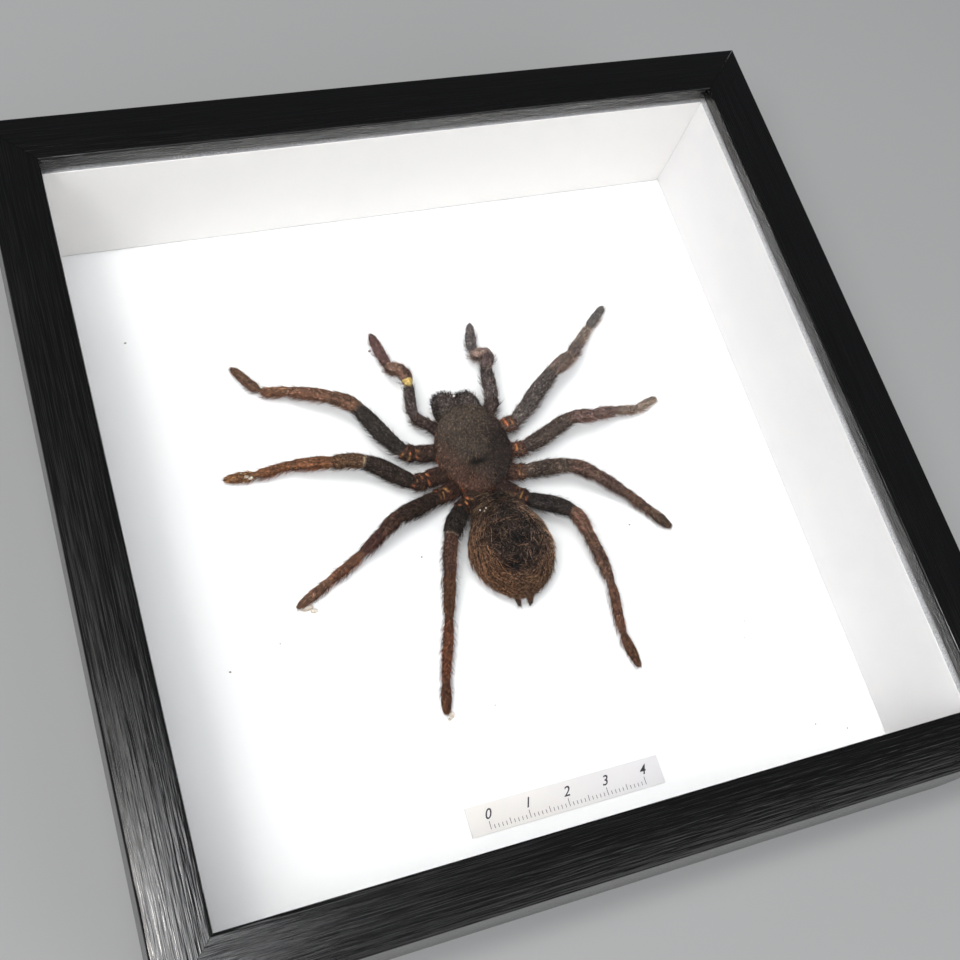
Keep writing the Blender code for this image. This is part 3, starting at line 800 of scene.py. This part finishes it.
grow_hair("hair_shield", shield, 101, "spider_dark", [
    dict(count=11000, length=(0.45, 0.95), width=0.062, lift=(12, 38), shades=(0.3, 3.2)),
    dict(count=700, length=(0.9, 1.9), width=0.04, lift=(5, 40), steps=2, where="edge",
         curl=0.2, shades=(0.8, 2.0), tint=(1.15, 0.95, 0.75)),
])

# ---- The jaws --------------------------------------------------------------------------------------
# Two blunt jaw bases bulge out in front of the shield. They are nearly black and set with short
# stiff bristles, longest on their front edge.
JAW_MIDDLES = {"left": (-0.4, 24.1), "right": (6.0, 23.3)}
JAW_HALF_SIZE = (3.0, 4.55, 3.3)
JAW_OVERLAP = 0.95
JAW_HEIGHT = 4.9
slate = np.array(shade(80, 74, 71))
for side_name, middle in JAW_MIDDLES.items():
    jaw, ball = add_ball(f"skin_jaw_{side_name}", 72, 44)
    x, y, z = ball.T
    drop = 0.9 * np.maximum(y, 0) ** 2
    inner = x * (1 if side_name == "left" else -1) > 0
    power = np.where(inner, 2.3, 2.05)
    plan = np.maximum(np.hypot(x, y), 1e-6)
    square = np.maximum((np.abs(x) / plan) ** power + (np.abs(y) / plan) ** power, 0.1) ** (-1 / power)
    px = middle[0] + (JAW_HALF_SIZE[0] + JAW_OVERLAP * inner) * x * square
    py = middle[1] + JAW_HALF_SIZE[1] * y * square
    flat = np.stack([px, py], axis=1)
    pz = np.maximum(JAW_HEIGHT + JAW_HALF_SIZE[2] * z - drop, BODY_BASE)
    pz = pz + 0.08 * waves(ball, 0.35, 31) * (z > -0.5)
    set_places(jaw, np.stack([px, py, pz], axis=1))
    tone = blend(soot * 1.75, slate * 1.5, 0.7 * ramp(waves(flat, 1.0, 32), -0.4, 0.8))
    tone = blend(tone, olive * 0.65, 0.8 * ramp(-y, 0.0, 0.5))
    tone = tone * (1.15 - 0.35 * ramp(-x, 0.4, 0.95) - 0.15 * ramp(y, 0.5, 1.0))[:, None]
    forward = np.stack([0.35 * x, 0.35 + 0.8 * np.maximum(y, 0), -0.2 * np.ones(len(x))], axis=1)
    keep(jaw, tone=tone * 0.6, coat=tone * np.array((1.08, 1.12, 1.22)), flow=unit(forward),
         thick=np.where(z > -0.5, 1.0, 0.05),
         edge=ramp(y, 0.25, 0.8) * (1 - ramp(np.abs(z - 0.1), 0.2, 0.7)) + 0.04)
    finish_skin(jaw, hard_skin, "spider_dark", f"chelicera_{side_name}")
    grow_hair(f"hair_jaw_{side_name}", jaw, 111 + len(side_name), "spider_dark", [
        dict(count=3600, length=(0.5, 1.0), width=0.06, lift=(18, 50), shades=(0.4, 3.0)),
        dict(count=420, length=(1.1, 2.3), width=0.055, lift=(25, 75), steps=2, where="edge",
             curl=0.25, droop=0.15, shades=(0.3, 0.9)),
    ])

# ---- The abdomen -----------------------------------------------------------------------------------
# A soft sack, shrunk in drying into shallow folds. Long wavy hair lies back over it, golden at its
# sides and rear, and dark curly wool covers its middle. Two finger-like spinnerets stand out behind.
ABDOMEN_MIDDLE = (4.6, -15.6)
ABDOMEN_HALF_WIDTH = 10.3
ABDOMEN_HALF_LENGTH = 12.6
ABDOMEN_MARGIN = 5.6
ABDOMEN_TOP = 12.1
NECK_REACH = 1.9
umber = np.array(shade(94, 73, 60))
HOLLOWS = [(-2.6, -6.0, 3.4, 1.3, 1.2), (1.4, -0.4, 3.6, 1.4, 0.95), (4.4, 3.4, 2.6, 1.6, 0.85),
           (4.2, -1.9, 1.6, 1.0, 0.5), (3.0, 6.6, 2.0, 1.2, 0.5), (-4.6, 1.2, 1.3, 2.6, 0.35)]
SPINNERETS = {
    "left": [(3.0, -25.7, 4.6, 0.75), (2.8, -28.7, 4.0, 0.55), (2.9, -30.6, 3.6, 0.36)],
    "right": [(6.8, -25.3, 4.8, 1.05), (6.2, -28.4, 4.2, 0.85), (5.6, -30.7, 3.8, 0.6)],
}


def smooth_path(nodes, along):
    """Places on a smooth curve through all the nodes, where a whole number is a node."""
    index = np.clip(along.astype(int), 0, len(nodes) - 2)
    s = (along - index)[:, None]
    start, end = nodes[index], nodes[index + 1]
    reach = np.linalg.norm(end - start, axis=1, keepdims=True)
    leave = unit(end - nodes[np.maximum(index - 1, 0)]) * reach
    arrive = unit(nodes[np.minimum(index + 2, len(nodes) - 1)] - start) * reach
    return (start * (2 * s**3 - 3 * s**2 + 1) + leave * (s**3 - 2 * s**2 + s)
            + end * (3 * s**2 - 2 * s**3) + arrive * (s**3 - s**2))


abdomen, ball = add_ball("skin_abdomen", 176, 110)
x, y, z = ball.T
above = z > 0
neck = ramp(y, 0.5, 1.0)
px = x * ABDOMEN_HALF_WIDTH * (1 - 0.17 * np.maximum(y, 0)) * (1 - 0.1 * neck) - 0.8 * neck
py = y * ABDOMEN_HALF_LENGTH + NECK_REACH * neck
pz = dome(z, ABDOMEN_MARGIN, ABDOMEN_TOP, 0.9)
flat = np.stack([px, py], axis=1)
hollow = np.zeros(len(px))
for hx, hy, wide, long, deep in HOLLOWS:
    hollow = np.maximum(hollow, deep * hump(px, py, (hx, hy), wide, long))
creased = np.stack([px * 0.55, py], axis=1)
relief = -hollow + 0.22 * waves(creased, 2.2, 41) + 0.12 * waves(flat, 1.1, 42)
pz = pz + np.where(above, relief * ramp(z, 0.05, 0.5), 0.0)
places = np.stack([px + ABDOMEN_MIDDLE[0], py + ABDOMEN_MIDDLE[1], pz], axis=1)
set_places(abdomen, places)
edge = ramp(np.hypot(px / ABDOMEN_HALF_WIDTH, py / ABDOMEN_HALF_LENGTH), 0.55, 0.92)
rear = ramp(-py, -4.0, 8.0)
left = ramp(-px, 2.0, 7.5)
patchy = 0.5 + 0.5 * ramp(waves(flat, 1.5, 43), -0.5, 0.5)
tone = blend(soot * 1.15, umber * 0.85, np.clip(0.55 * left + 0.4 * rear, 0, 1) * patchy)
# Skin and hair are painted darker in the hollows: painted shade.
tone = blend(tone, coal * 0.55, np.clip(hollow * 1.1, 0, 1))
tone = blend(tone, coal, 0.7 * ramp(py, 6.0, 10.5))
rusty = 0.6 * edge * (0.3 + 0.7 * rear) * ramp(waves(flat, 1.2, 44), -0.2, 0.6)
bright = 1.0 + 1.3 * ramp(px, 0.0, 4.5) * (1 - 0.95 * rear) - 0.18 * rear - 0.14 * left
# The hair parts along the back's middle, follows the outline and meets at the spinnerets.
to_rear = np.stack([0.8 - px, -13.0 - py], axis=1)
swirl = np.stack([waves(flat, 2.4, 45), waves(flat, 2.4, 46)], axis=1)
outline = np.stack([np.sign(px) * py / ABDOMEN_HALF_LENGTH, -np.abs(px) / ABDOMEN_HALF_WIDTH], axis=1)
lay = unit(to_rear) * 0.5 + unit(outline + 1e-6) * edge[:, None] * 1.6
lay = lay + swirl * (0.45 - 0.35 * edge)[:, None]
upper = ramp(z, -0.5, -0.2)
low_rim = (1 - ramp(np.abs(z - 0.05), 0.1, 0.4)) * rear
hollow = np.clip(hollow, 0, 1)
keep(abdomen, tone=blend(tone * 0.42, rust * 0.55, rusty), coat=tone * bright[:, None],
     flow=np.concatenate([lay, np.zeros((len(px), 1))], axis=1),
     thick=upper * (1.0 - 0.75 * hollow) + 0.01,
     edge=upper * (0.12 + edge * (0.5 + 0.5 * rear)) * (1.0 - 0.8 * hollow),
     fringe=low_rim * (0.35 + 0.65 * ramp(px, -2.0, 5.0)) + 0.001)
finish_skin(abdomen, limb_skin, "spider_brown", "abdomen")
grow_hair("hair_abdomen", abdomen, 121, "spider_brown", [
    dict(count=5600, length=(0.8, 2.0), width=0.08, lift=(8, 45), curl=0.4, steps=2,
         shades=(0.12, 3.6)),
    dict(count=3700, length=(2.2, 4.8), width=0.075, lift=(3, 18), droop=0.9, wave=0.07, curl=0.12, steps=4,
         where="edge", shades=(0.35, 3.9), tint=(1.75, 1.46, 1.12)),
    dict(count=700, length=(1.8, 4.2), width=0.05, lift=(8, 40), droop=0.3, wave=0.05, curl=0.2,
         steps=4, where="fringe", shades=(0.7, 2.6), tint=(1.6, 1.45, 1.2)),
])

for number, (side_name, marks) in enumerate(SPINNERETS.items()):
    finger, ball = add_ball(f"skin_spinneret_{side_name}", 28, 40)
    marks = np.array(marks)
    along = (ball[:, 2] + 1) / 2 * (len(marks) - 1)
    middle = smooth_path(marks[:, :3], along)
    ahead = smooth_path(marks[:, :3], np.minimum(along + 0.05, len(marks) - 1))
    way = unit(ahead - smooth_path(marks[:, :3], along - 0.05))
    side = unit(np.cross(way, (0.0, 0.0, 1.0)))
    up = np.cross(side, way)
    grain = np.stack([along * 3.0, ball[:, 0], ball[:, 1]], axis=1)
    thick = np.interp(along, np.arange(len(marks)), marks[:, 3]) * (1 + 0.08 * waves(grain, 0.8, 51))
    plump = np.maximum(np.hypot(ball[:, 0], ball[:, 1]), 1e-6) ** -0.55
    set_places(finger, middle + (thick * plump)[:, None] * (ball[:, :1] * side - ball[:, 1:2] * up))
    tone = blend(umber * 0.7, rust * 0.7, 0.6 * ramp(waves(grain, 0.9, 52), 0.0, 0.7))
    keep(finger, tone=tone, coat=umber * 0.8 * np.ones((len(ball), 1)), flow=way,
         thick=1.0 - 0.6 * (ball[:, 2] > 0.9))
    finish_skin(finger, limb_skin, "spider_brown")
    grow_hair(f"hair_spinneret_{side_name}", finger, 131 + number, "spider_brown", [
        dict(count=420, length=(0.5, 1.1), width=0.05, lift=(12, 40), shades=(0.4, 1.5)),
        dict(count=60, length=(0.9, 1.6), width=0.05, lift=(20, 60), steps=2, shades=(0.3, 0.9)),
    ])

# ---- The legs and feelers -------------------------------------------------------------------------
# Eight legs and two feelers, dried with their skin shrunk on to them: dark thighs, browner outer
# joints, and bare rusty rings near the body. Hair lies outwards along them, with a longer fringe.
legs = {
    "leg_left_1": [(-3.1, 13.0), (-11.6, 13.8), (-14.4, 15.1), (-23.5, 27.5),
                   (-29.0, 31.9), (-38.3, 37.1), (-44.8, 39.8), (-50.5, 47.6)],
    "leg_left_2": [(-3.1, 7.6), (-10.8, 6.3), (-14.2, 6.2), (-25.9, 12.9),
                   (-33.2, 14.5), (-42.5, 17.1), (-51.2, 17.3), (-59.1, 17.7)],
    "leg_left_3": [(-0.6, 4.6), (-7.4, 1.5), (-9.6, 1.1), (-21.4, -3.1),
                   (-26.0, -5.9), (-31.5, -8.9), (-40.4, -13.4), (-49.8, -18.1)],
    "leg_left_4": [(1.6, 2.6), (-2.2, -2.2), (-4.6, -3.7), (-9.9, -10.7),
                   (-12.9, -19.3), (-15.4, -29.4), (-20.3, -44.4), (-22.2, -51.6)],
    "leg_right_1": [(8.0, 14.9), (13.8, 17.0), (16.8, 17.4), (30.2, 28.1),
                    (37.3, 32.2), (42.1, 37.0), (47.7, 42.2), (54.5, 48.0)],
    "leg_right_2": [(8.0, 10.8), (14.5, 9.8), (17.1, 9.9), (30.1, 14.0),
                    (37.1, 14.1), (45.5, 15.6), (52.7, 15.9), (59.7, 17.9)],
    "leg_right_3": [(7.0, 5.4), (13.3, 3.6), (15.1, 3.3), (26.2, 1.1),
                    (32.3, -2.4), (39.4, -7.0), (46.0, -13.4), (50.1, -18.6)],
    "leg_right_4": [(5.5, 2.8), (11.1, -2.2), (13.3, -4.0), (22.4, -11.0),
                    (24.9, -17.3), (27.7, -30.3), (27.2, -43.1), (28.6, -52.1)],
    "pedipalp_left": [(-2.2, 17.3), (-5.6, 20.7), (-8.8, 23.8), (-8.4, 32.3),
                      (-8.7, 36.0), (-11.1, 39.6), (-12.7, 50.7)],
    "pedipalp_right": [(7.7, 19.3), (11.2, 22.0), (12.8, 24.7), (13.3, 33.0),
                       (14.9, 36.6), (12.5, 39.2), (14.9, 49.1)],
}
LEG_HEIGHTS = [4.4, 4.7, 5.1, 8.4, 7.8, 4.3, 2.2, 1.5]
LEG_RADII = [(2.1, 2.3, 2.2), (2.2, 2.3, 2.0), (1.85, 2.25, 1.8), (1.72, 1.88, 1.62),
             (1.52, 1.65, 1.28), (1.2, 1.32, 1.15), (1.0, 1.38, 0.78)]
PALP_HEIGHTS = [4.4, 4.8, 5.3, 7.0, 6.8, 4.4, 2.0]
PALP_RADII = [(1.8, 2.0, 1.9), (1.9, 1.9, 1.75), (1.7, 1.85, 1.5), (1.45, 1.7, 1.5),
              (1.55, 1.75, 1.3), (1.05, 1.5, 0.75)]
# How thick the thigh and the outer joints of a limb are, beside the usual ones.
girths = {
    "leg_left_2": (1.02, 0.98), "leg_left_3": (0.94, 0.92), "leg_left_4": (1.08, 0.94),
    "leg_right_1": (0.95, 0.97), "leg_right_2": (0.94, 0.88), "leg_right_3": (0.95, 1.0),
    "leg_right_4": (0.97, 0.95), "pedipalp_left": (0.8, 1.0),
}
# How far the middle of a thigh bows to its right, in millimetres.
thigh_bows = {"leg_right_1": 0.05, "leg_right_2": 0.45, "leg_left_1": -0.6, "leg_left_3": -0.3}
# Where a joint has shrunk most: how narrow it is, as a share.
shrunk = {
    "leg_left_1": {6: 0.5}, "leg_left_2": {6: 0.75}, "leg_right_4": {5: 0.85, 6: 0.85},
    "leg_right_1": {6: 0.8},
}
sand = np.array(shade(142, 112, 86))
cream = np.array(shade(206, 184, 156))
yellow = np.array(shade(196, 170, 104))
# Bare, pale or dark skin that shows at a joint: its place along the limb, half its width and its colour.
bare_joints = {
    "pedipalp_left": (3.08, 0.19, yellow), "leg_left_2": (3.0, 0.035, cream * 0.7),
    "leg_left_4": (3.0, 0.03, cream * 0.5), "leg_right_2": (4.0, 0.03, coal),
    "leg_right_3": (3.97, 0.02, cream * 0.4),
}
# Where rings of bare skin show on a leg's inner joints, and half their width: the usual ones, and those
# of the legs that differ.
LEG_RINGS = ((1.0, 0.1), (1.5, 0.08), (1.97, 0.05))
ring_places = {
    "leg_right_1": ((1.08, 0.12), (1.6, 0.1)), "leg_right_2": ((1.05, 0.1), (1.55, 0.1)),
    "leg_right_3": ((1.1, 0.09), (1.5, 0.1)), "leg_left_1": ((1.0, 0.09), (1.45, 0.09), (1.9, 0.07)),
}
# The colours of thigh, knee, shin, long foot and toe; a feeler has one foot in place of the last two.
pelts = {
    "leg_left_1": ((57, 52, 49), (108, 83, 69), (121, 92, 77), (125, 94, 75), (106, 82, 69)),
    "leg_left_2": ((55, 46, 41), (91, 71, 55), (119, 84, 62), (118, 82, 60), (128, 95, 68)),
    "leg_left_3": ((52, 40, 34), (66, 49, 42), (73, 51, 47), (108, 77, 62), (110, 84, 70)),
    "leg_left_4": ((46, 40, 36), (80, 58, 49), (82, 57, 43), (98, 62, 45), (87, 58, 43)),
    "leg_right_1": ((98, 91, 89), (116, 105, 101), (110, 101, 99), (132, 122, 116), (110, 108, 108)),
    "leg_right_2": ((91, 80, 75), (108, 91, 88), (120, 103, 101), (138, 124, 117), (148, 136, 127)),
    "leg_right_3": ((90, 78, 71), (99, 80, 73), (95, 77, 72), (100, 79, 69), (96, 79, 68)),
    "leg_right_4": ((55, 49, 47), (106, 82, 72), (93, 72, 62), (101, 73, 60), (94, 67, 52)),
    "pedipalp_left": ((82, 72, 70), (104, 83, 75), (120, 98, 88), (108, 84, 82)),
    "pedipalp_right": ((95, 86, 84), (92, 80, 80), (138, 122, 118), (106, 102, 104)),
}
THIGH = 2
WAIST = 0.95
FLATNESS = 0.94
HAIR_ROOM = 0.16
LOWEST_AXIS = 0.3
LOWEST_SKIN = 0.12
THINNEST = 0.3
STRIPE_ANGLE = 0.62
STEPS_ALONG = 168
STEPS_AROUND = 34
SEAM_GAP = 0.0004 * MM


def bell(values, width):
    """1 where a value is 0, falling smoothly to nearly 0 at twice the width."""
    return np.exp(-((values / width) ** 2))


def limb_radius(along, radii):
    """The radius along a limb: swollen in each segment and narrow at each joint."""
    marks = []
    for index, (start, middle, end) in enumerate(radii):
        joint = start if index == 0 else (start + radii[index - 1][2]) / 2 * WAIST
        marks.append((index, joint))
        for share in (0.16, 0.5, 0.84):
            swell = middle - (start + end) / 2
            marks.append((index + share, start * (1 - share) + end * share + swell * 4 * share * (1 - share)))
    marks += [(len(radii) - 0.04, end * 0.95), (len(radii), end * 0.8)]
    return np.interp(along, *zip(*marks))


def make_limb(name, joints, heights, radii, seed, palp):
    """The dried skin of one limb: a sheet wrapped round its path, creased, ringed and coloured."""
    nodes = np.array([(x, y, h) for (x, y), h in zip(joints, heights)])
    last = len(nodes) - 1
    select_only()
    bpy.ops.mesh.primitive_grid_add(x_subdivisions=STEPS_AROUND, y_subdivisions=STEPS_ALONG, size=1.0)
    skin = bpy.context.object
    skin.name = f"skin_{name}"
    sheet = get_places(skin.data) + 0.5
    turn = 2 * math.pi * sheet[:, 0] - math.pi
    share = sheet[:, 1]
    along = share * last
    thigh = nodes[THIGH + 1] - nodes[THIGH]
    bow = unit(np.array([thigh[1], -thigh[0], 0.0])) * thigh_bows.get(name, 0.0)

    def path(at):
        s = np.clip(at - THIGH, 0.0, 1.0)
        return smooth_path(nodes, at) + bow * (4 * s * (1 - s))[:, None]

    girth = np.interp(along, (2.95, 3.1), girths.get(name, (1.0, 1.0)))
    radius = limb_radius(along, radii) * girth - HAIR_ROOM
    middle = path(along)
    middle[:, 2] = np.maximum(middle[:, 2], radius + HAIR_ROOM + LOWEST_AXIS)
    way = unit(path(np.minimum(along + 0.03, last)) - path(np.maximum(along - 0.03, 0.0)))
    side = unit(np.cross(way, np.array([0.0, 0.0, 1.0])))
    up = np.cross(side, way)
    sideways = np.sin(turn)[:, None] * side
    lengths = np.linalg.norm(np.diff(nodes, axis=0), axis=1)
    reach = np.interp(along, np.arange(last + 1), np.concatenate([[0], np.cumsum(lengths)]))
    grain = np.stack([reach, np.cos(turn) * 2.0, np.sin(turn) * 2.0], axis=1)

    def gap_to(joint):
        return np.abs(along - joint) * np.where(along < joint, lengths[joint - 1], lengths[joint])

    joint_gap = np.min([gap_to(joint) for joint in range(1, last)], axis=0)
    radius = radius + (0.1 * (along > 2.2) - 0.05) * bell(joint_gap, 0.6)
    for joint, share_left in shrunk.get(name, {}).items():
        radius = radius * (1 - (1 - share_left) * bell(gap_to(joint), 0.9))
    base_folds = np.cos(grain[:, 0] * 2 * math.pi / 0.8 + 1.5 * waves(grain, 2.0, seed + 6))
    radius = radius + (1 - ramp(along, 2.1, 2.35)) * 0.05 * base_folds
    off_stripe = np.abs(turn + 0.1 * waves(grain, 6.0, seed)) - STRIPE_ANGLE
    stripes = bell(off_stripe, 0.17) * ramp(along, 2.9, 3.05)
    stripes *= 1 - 0.7 * ramp(along, 4.6, 5.0)
    dents = waves(grain * np.array((0.45, 1.0, 1.0)), 1.5, seed + 1)
    lumps = waves(grain, 0.8, seed + 2)
    radius = radius * (1 + 0.045 * dents) + 0.04 * lumps - 0.12 * stripes
    tip = np.where(share > 0.985, np.sqrt(np.clip(1 - ((share - 0.985) / 0.015) ** 2, 0, 1)), 1.0)
    root = np.sqrt(np.clip(share / 0.01, 0, 1))
    radius = np.maximum(radius, THINNEST) * tip * root
    places = middle + radius[:, None] * (sideways + FLATNESS * np.cos(turn)[:, None] * up)
    places[:, 2] = np.maximum(places[:, 2], LOWEST_SKIN)
    set_places(skin, places)

    colours = [np.array(shade(*pelt)) for pelt in pelts[name]]
    dim = np.array((0.62, 0.56, 0.54) if palp else (0.78, 0.58, 0.53))
    colours.insert(0, (coal + colours[0]) * dim)
    marks, values = [], []
    for start, stop, colour in zip((0, 2, *range(3, last)), (2, *range(3, last + 1)), colours):
        marks += [start + 0.03, stop - 0.03]
        values += [colour, colour]
    coat = np.stack([np.interp(along, marks, band) for band in np.array(values).T], axis=1)
    patchy = waves(grain, 1.4, seed + 3)
    coat *= (1 + 0.16 * waves(grain, 3.0, seed + 4))[:, None]
    foxed = 0.5 * ramp(patchy, 0.1, 0.9) * ramp(along, 2.9, 3.1)
    coat = blend(coat, coat * np.array((1.18, 1.05, 0.9)), foxed)
    rings = np.zeros(len(along))
    for place, width in ring_places.get(name, () if palp else LEG_RINGS):
        wavy = place + 0.03 * waves(grain, 1.2, seed + 7)
        rings = np.maximum(rings, bell(along - wavy, width))
    rings *= ramp(waves(grain, 1.0, seed + 5), -0.2, 0.3)
    folds = bell(joint_gap, 0.25) * ramp(along, 2.6, 2.9)
    ring_tone = blend(rust, golden, ramp(patchy, -0.2, 0.6)) * 1.45
    tone = blend(coat * 0.62, ring_tone, 0.95 * rings)
    tone = blend(tone, sand * 0.8, 0.55 * folds * ramp(patchy, -0.6, 0.4))
    tone = blend(tone, coat * np.array((1.5, 1.3, 1.2)), 0.8 * stripes)
    naked = np.zeros(len(along))
    if name in bare_joints:
        place, width, colour = bare_joints[name]
        naked = 1 - ramp(np.abs(along - place - 0.01 * patchy) / width, 0.8, 1.2)
        tone = blend(tone, colour * (1 + 0.25 * lumps)[:, None], naked)
    flank = bell(np.abs(turn) - 1.75, 0.5)
    # The coat on each limb's lower right flank is painted paler: painted light on the fringe there.
    painted_light_flank = np.clip(sideways @ np.array((0.8, -0.5, 0.0)), 0, 1) * ramp(along, 2.9, 3.2)
    bare = 0.9 * rings + 0.75 * bell(joint_gap, 0.3) + 0.85 * stripes + naked
    bare = np.clip(bare, 0, 0.98)
    upper = ramp(np.cos(turn), -0.75, -0.3)
    shaded = np.clip(sideways @ np.array((-0.35, -0.9, 0.0)), -0.25, 1.0)
    fringe = flank * (0.35 + shaded) * (0.55 + 0.45 * ramp(along, 2.7, 3.2))
    fringe = fringe * (1 - 0.8 * ramp(along, last - 0.9, last - 0.6))
    keep(skin, tone=tone, coat=blend(coat, coat * np.array((1.9, 1.6, 1.35)), 0.7 * flank * painted_light_flank), flow=way,
         thick=(along > 0.3) * (1 - bare) * (0.12 + 0.88 * upper) + 1e-4,
         edge=fringe * (1 - 0.8 * bare) + 1e-5,
         toe=ramp(along, last - 0.95, last - 0.6) * (0.3 + flank) + 1e-5)
    start_edit(skin)
    bpy.ops.mesh.select_all(action="SELECT")
    bpy.ops.mesh.remove_doubles(threshold=SEAM_GAP)
    bpy.ops.mesh.normals_make_consistent(inside=False)
    end_edit()
    finish_skin(skin, limb_skin, "spider_brown", name)
    return skin


for number, (name, joints) in enumerate(legs.items()):
    palp = name.startswith("pedipalp")
    heights, radii = (PALP_HEIGHTS, PALP_RADII) if palp else (LEG_HEIGHTS, LEG_RADII)
    skin = make_limb(name, joints, heights, radii, 200 + 10 * number, palp)
    share = 0.55 if palp else 1.0
    grow_hair(f"hair_{name}", skin, 400 + number, "spider_brown", [
        dict(count=int(7400 * share), length=(0.55, 1.2), width=0.062, lift=(3, 15), shades=(0.3, 3.2)),
        dict(count=int(900 * share), length=(0.9, 1.9), width=0.042, lift=(10, 40), steps=2, curl=0.3,
             droop=0.4, shades=(0.35, 2.6), tint=(1.1, 1.0, 0.9)),
        dict(count=int(1150 * share), length=(1.2, 3.2), width=0.034, lift=(22, 65), steps=3, curl=0.35,
             droop=0.5, where="edge", shades=(0.3, 1.5), tint=(1.15, 1.0, 0.9)),
        dict(count=int(350 * share), length=(0.5, 0.9), width=0.06, lift=(25, 60), where="toe",
             shades=(0.5, 1.5)),
    ])

# ---- Crumbs and glue -------------------------------------------------------------------------------
# Specks of dust and dried skin have fallen on to the card. Cream glue, which holds the feet down, has
# squeezed out at three of them. Small white specks lie in the hair of the abdomen, and a white dot
# between the jaws is a painted highlight.
LUMP_LOWEST = 0.03
crumb_brown, _ = mottled_material(
    "crumb_brown", 0.85, shade(70, 58, 50), shade(150, 138, 128), (3200.0, 2.0))
glue_and_glint_cream, _ = mottled_material(
    "glue_and_glint_cream", 0.5, shade(168, 150, 130), shade(226, 220, 210), (1500.0, 3.0, 0.6), (0.35, 0.65),
    (0.08 * MM, 0.6))
# Each crumb's place on the card and its radius, in millimetres.
crumbs = [(-74.4, 60.1, 0.22), (-13.6, 46.8, 0.3), (17.3, 78.1, 0.16), (24.7, 73.5, 0.15),
          (-68.5, -29.3, 0.2), (-55.7, -25.4, 0.17), (-16.4, -11.8, 0.2), (38.8, 53.1, 0.15),
          (61.2, -47.2, 0.17), (59.5, -51.4, 0.14), (69.5, -77.1, 0.16), (77.6, -80.2, 0.16),
          (40.0, -15.2, 0.2), (-9.7, -52.1, 0.15), (30.5, 44.0, 0.1), (-34.0, -52.0, 0.1),
          (-61.0, 4.0, 0.09), (49.0, 8.0, 0.09), (-42.0, 66.0, 0.1), (12.0, -62.0, 0.09)]
# The glue's, the white specks' and the highlight's places, half sizes and heights above the card, in
# millimetres.
glue_lumps = {
    "glue_left_3": [(-47.4, -18.4, 0.35, 1.5, 0.75, 0.4), (-45.9, -19.4, 0.3, 0.9, 0.6, 0.35),
                    (-49.1, -17.6, 0.3, 0.7, 0.5, 0.3)],
    "glue_left_4": [(-20.8, -51.8, 0.3, 0.8, 0.8, 0.35), (-21.5, -52.7, 0.25, 0.5, 0.4, 0.25)],
    "glue_left_2": [(-53.9, 16.9, 2.9, 0.5, 0.35, 0.4), (-52.9, 16.3, 2.9, 0.55, 0.4, 0.45),
                    (-54.9, 18.2, 2.3, 0.45, 0.3, 0.4)],
    # The last lump here, on top between the jaws, is a painted highlight.
    "white_specks_and_glint": [(-1.7, -6.6, 10.6, 0.2, 0.2, 0.18), (-0.2, -6.5, 11.1, 0.22, 0.2, 0.18),
                     (-0.9, -7.3, 11.3, 0.14, 0.12, 0.12), (2.0, 26.0, 8.3, 0.3, 0.26, 0.2)],
}


def rough_lump(place, half_size, seed):
    """A small uneven grain at a place in millimetres above the card."""
    select_only()
    bpy.ops.mesh.primitive_ico_sphere_add(subdivisions=3, radius=1.0)
    lump = bpy.context.object
    points = get_places(lump.data)
    points = points * (1 + 0.16 * waves(points, 0.9, seed) + 0.08 * waves(points, 0.45, seed + 1))[:, None]
    points = points * np.array(half_size) + np.array(place)
    points[:, 2] = np.maximum(points[:, 2], LUMP_LOWEST)
    set_places(lump, points)
    lump.data.shade_smooth()
    return lump


grains = [rough_lump((cx, cy, 0.4 * size), (size * 1.3, size, size * 0.7), 600 + number)
          for number, (cx, cy, size) in enumerate(crumbs)]
join_pieces("card_crumbs", grains, crumb_brown, "spider_brown")
for number, (name, lumps) in enumerate(glue_lumps.items()):
    grains = [rough_lump(lump[:3], lump[3:], 700 + 10 * number + index) for index, lump in enumerate(lumps)]
    join_pieces(name, grains, glue_and_glint_cream, "label_paper")
